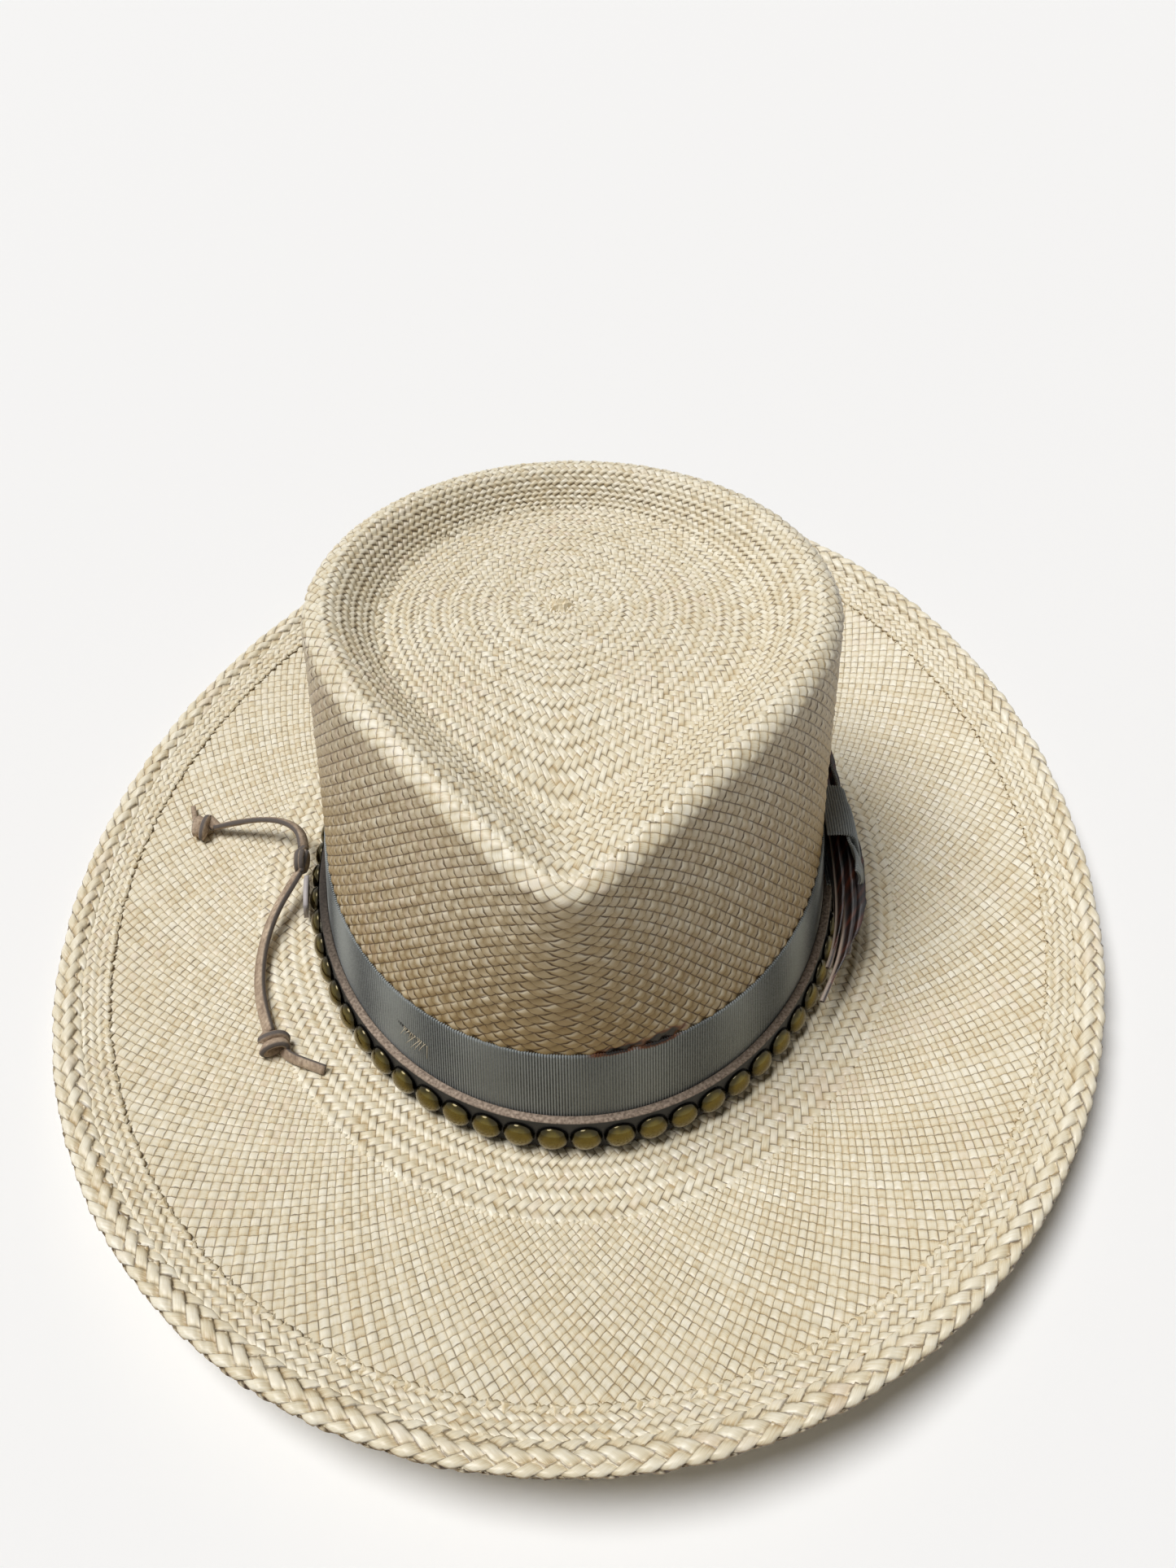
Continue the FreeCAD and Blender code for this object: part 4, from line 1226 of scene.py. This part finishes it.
def featherMaterial():
    # pheasant covert feather: glossy dark brown barbs lying slantwise off a pale horny quill, barred with black
    material, add, shader = newMaterial("pheasantFeather", 0.34, ior=1.54)
    parts = add("SeparateXYZ", add("Attribute", attribute_name="vane").outputs["Vector"])
    slant = add("Math MULTIPLY_ADD", parts.outputs[1], -1.1, parts.outputs[0])
    barbs = add("Math SINE", add("Math MULTIPLY", slant, 9.0))
    bars = add("TexNoise", add("CombineXYZ", slant), named={"Scale": 0.22, "Detail": 2.0})
    tone = setStops(add("ValToRGB", bars), (0.4, "#0E0806"), (0.5, "#2A140D"), (0.62, "#572A19"))
    shaft = add("MapRange", parts.outputs[2], 0.5, 0.95, 0.0, 1.0)
    horn = add("Mix", data_type="RGBA", named={0: shaft, 6: tone, 7: linear("#D3BFAE")})
    bump = add("Bump", named={"Height": barbs, "Strength": 0.4, "Distance": 0.0001})
    feed(shader, {"Base Color": horn.outputs[2], "Normal": bump, "Coat Weight": 0.3, "Coat Roughness": 0.25})
    return material


def featherPiece(name, outwards, upwards, start, share, seed, lean, material):
    rng = np.random.default_rng(seed)
    path = evenPath([Vector(point) + Vector((outwards, 0, upwards)) for point in plumes["route"]], 0.35)
    path = path[int(start * len(path)):min(int((start + share) * len(path)), len(path) - 1)]
    knots = np.arange(0, len(path) + 6, 6)
    rough = np.interp(np.arange(len(path)), knots, rng.uniform(-1, 1, len(path) // 6 + 2)[:len(knots)])
    places, shares = zip(*plumes["stations"])
    grid, vane = [], []
    run = 0.0
    for i, point in enumerate(path):
        t = i / (len(path) - 1)
        along = heading(path, i)
        side = Vector((-0.3, 0, 1)).cross(along).normalized()
        up = along.cross(side).normalized()
        side, up = side * math.cos(lean) + up * math.sin(lean), up * math.cos(lean) - side * math.sin(lean)
        quill = plumes["quillRadius"] * (1 - 0.75 * t)
        half = quill + plumes["halfWidth"] * np.interp(t, places, shares) * (1 + plumes["ragged"] * rough[i])
        thin = min(plumes["vaneThickness"] / 2, quill)
        # half the outline: place across, height, and how much of it is quill
        face = [(half * 0.5 + quill * 0.5, thin, 0), (quill, thin, 0.6), (quill * 0.5, quill, 1)]
        face += [(-u, d, s) for u, d, s in face[::-1]]
        section = [(half, 0, 0), *face, (-half, 0, 0), *((u, -d, s) for u, d, s in face[::-1])]
        cup = [plumes["cup"] * max(abs(u) - quill, 0) for u, d, s in section]
        grid.append([point + up * (u * mm) + side * ((d - c) * mm) for (u, d, s), c in zip(section, cup)])
        if i:
            run += (path[i] - path[i - 1]).length / mm
        vane += [(run, abs(u), s) for u, d, s in section]
    obj = gridPiece(name, grid, material)
    storeValues(obj, "vane", vane)
    return obj


plume = featherMaterial()
for name in ("Long", "Middle", "Short"):
    softPieces["feather_" + name.lower()] = [featherPiece("feather" + name, *plumes[name], plume)]
print("feathers made")


# sweatband inside the crown

lining = {
    "height": 36.0, "thickness": 1.2, "gap": 0.15, "reed": 2.0, "columns": 240,
    "tapeLength": 16.0, "tapeFoot": 2.4, "tapeThickness": 0.6,
    "stitchCount": 168, "stitchLength": 2.3, "stitchThickness": 0.45, "stitchZ": 4.6,
}


def liningPieces():
    outer = -straw["thickness"] - lining["gap"]
    inner = outer - lining["thickness"]
    high = lining["height"]
    section = [(outer, 0.0), (outer, high / 2), (outer, high - 0.4), (outer - 0.5, high), (inner + 0.3, high),
               (inner, high - 0.4), (inner, high * 0.6), (inner, high * 0.25), (inner, 0.4), (inner + 0.4, 0.0)]
    leather = leatherMaterial("tanSweatbandLeather", "#5A3A22", "#7D5636", 0.48, 1500.0, 0.08)[0]
    band = ringPiece("sweatbandLeather", section[::-1], lining["columns"], leather)
    at, deep = inner - lining["gap"], inner - lining["gap"] - lining["reed"]
    section = [(at, 0.5), (at, 1.8), (at - 0.5, 2.15), (deep + 0.5, 2.15), (deep, 1.7), (deep, 0.6),
               (deep + 0.5, 0.15), (at - 0.5, 0.15)]
    weft = leatherMaterial("wovenReedTape", "#B9AC90", "#D8CDB3", 0.8, 2600.0, 0.1)[0]
    reed = ringPiece("sweatbandReed", section, lining["columns"], weft)
    wide, low = lining["tapeLength"] / (straw["crownHalfWidth"] - 6), lining["tapeFoot"]
    back = at - lining["tapeThickness"]
    section = [(at, low), (at, high), (back, high), (back, high * 0.5), (back, low)]
    grid = [[wallPoint(np.array(math.pi / 2 + (k / 20 - 0.5) * wide), z, out) for out, z in section]
            for k in range(21)]
    tape = gridPiece("sweatbandTape", grid, grosgrain)
    angles = evenAngles(5.0, inner, lining["stitchCount"])[0]

    def spots(angles, sunk):
        return wallPoint(angles, lining["stitchZ"], inner - sunk)

    places = spots(angles, 0.02)
    stitches = placedPoints("sweatbandStitches", places, facing=spots(angles, 1) - places,
                            along=spots(angles + 0.01, 0.02) - places)
    runTree(stitches, stitchTree(threadMaterial()), {"Length": lining["stitchLength"],
                                                     "Thickness": lining["stitchThickness"]})
    return {"sweatband": [band, stitches], "sweatband_reed": [reed], "sweatband_tape": [tape]}


def stitchTree(material):
    # short stitches in a row, each a thin bead pressed into the leather
    tree, add, given = newTree("stitches", {"Length": 2.3, "Thickness": 0.45, "Thread": material})
    bead = add("GeometryNodeMeshUVSphere", 8, 6, 0.5)
    sizes = add("CombineXYZ", given["Length"], given["Thickness"], given["Thickness"])
    sizes = add("VectorMath SCALE", sizes, named={"Scale": mm})
    shaped = add("GeometryNodeTransform", bead, named={"Scale": sizes})
    endTree(add, placeShapes(add, given["Geometry"], shaped), given["Thread"])
    return tree


softPieces.update(liningPieces())
print("sweatband made")


# floor and light

studio = {
    "fill": 0.08, "fillColour": "#FFF3E2", "floorColour": "#FCFCFC", "floorHalf": 4.0, "floorZ": -0.0003,
    "lampEnergy": 2.85, "lampAngle": 30.0, "lampFrom": (-0.37, 0.05, 0.93),
}


def lightStudio():
    # a white surround for the camera and for glints, a dim warm fill for all else, and one broad soft lamp
    scene = bpy.context.scene
    scene.view_settings.view_transform = "Standard"
    world = scene.world or bpy.data.worlds.new("studio")
    scene.world = world
    world.use_nodes = True
    world.node_tree.nodes.clear()
    add = partial(addNode, world.node_tree)
    path = add("LightPath").outputs
    seen = add("Math MAXIMUM", path["Is Camera Ray"], path["Is Glossy Ray"])
    seen = add("Math MAXIMUM", seen, path["Is Transmission Ray"])
    strength = add("MapRange", seen, 0.0, 1.0, studio["fill"], 1.0)
    tone = add("Mix", data_type="RGBA", named={0: seen, 6: linear(studio["fillColour"]), 7: linear("#FFFFFF")})
    add("OutputWorld", add("Background", tone.outputs[2], strength))
    lamp = link(bpy.data.objects.new("softLamp", bpy.data.lights.new("softLamp", "SUN")))
    lamp.data.energy = studio["lampEnergy"]
    lamp.data.angle = math.radians(studio["lampAngle"])
    lamp.rotation_euler = Vector(studio["lampFrom"]).to_track_quat("Z", "Y").to_euler()
    material, add, shader = newMaterial("paleFloor", 0.9)
    feed(shader, {"Base Color": linear(studio["floorColour"])})
    half = studio["floorHalf"]
    corners = [(x * half, y * half, studio["floorZ"]) for x, y in ((-1, -1), (1, -1), (1, 1), (-1, 1))]
    newMesh("floor", corners, [0, 1, 2, 3], [0], material, smooth=False)


lightStudio()

for name in ("upper", "lower"):
    piece, route = cordPieces[name]
    knot = cordPieces[name + "Knot"]
    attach(piece, "root")
    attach(knot, "root")
    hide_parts(name + "_lace")
    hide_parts(name + "_lace_knot")
finishes = {
    "straw": ("brim_edge", "brim", "crown_side", "crown_tip"),
    "grosgrain": ("ribbon_band", "bow_wrap", "bow_flap", "bow_tail"),
    "feather": ("feather_long", "feather_middle", "feather_short"),
    "black_leather": ("hat_belt",), "studs": ("brass_studs",), "grey_leather": ("belt_end",),
    "lace_leather": ("belt_knot",), "sweatband_leather": ("sweatband",), "reed": ("sweatband_reed",),
    "tape": ("sweatband_tape",),
}
for slot, names in finishes.items():
    for node in names:
        for piece in strawPieces.get(node, []) + softPieces.get(node, []):
            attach(piece, "root")
            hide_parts(node)
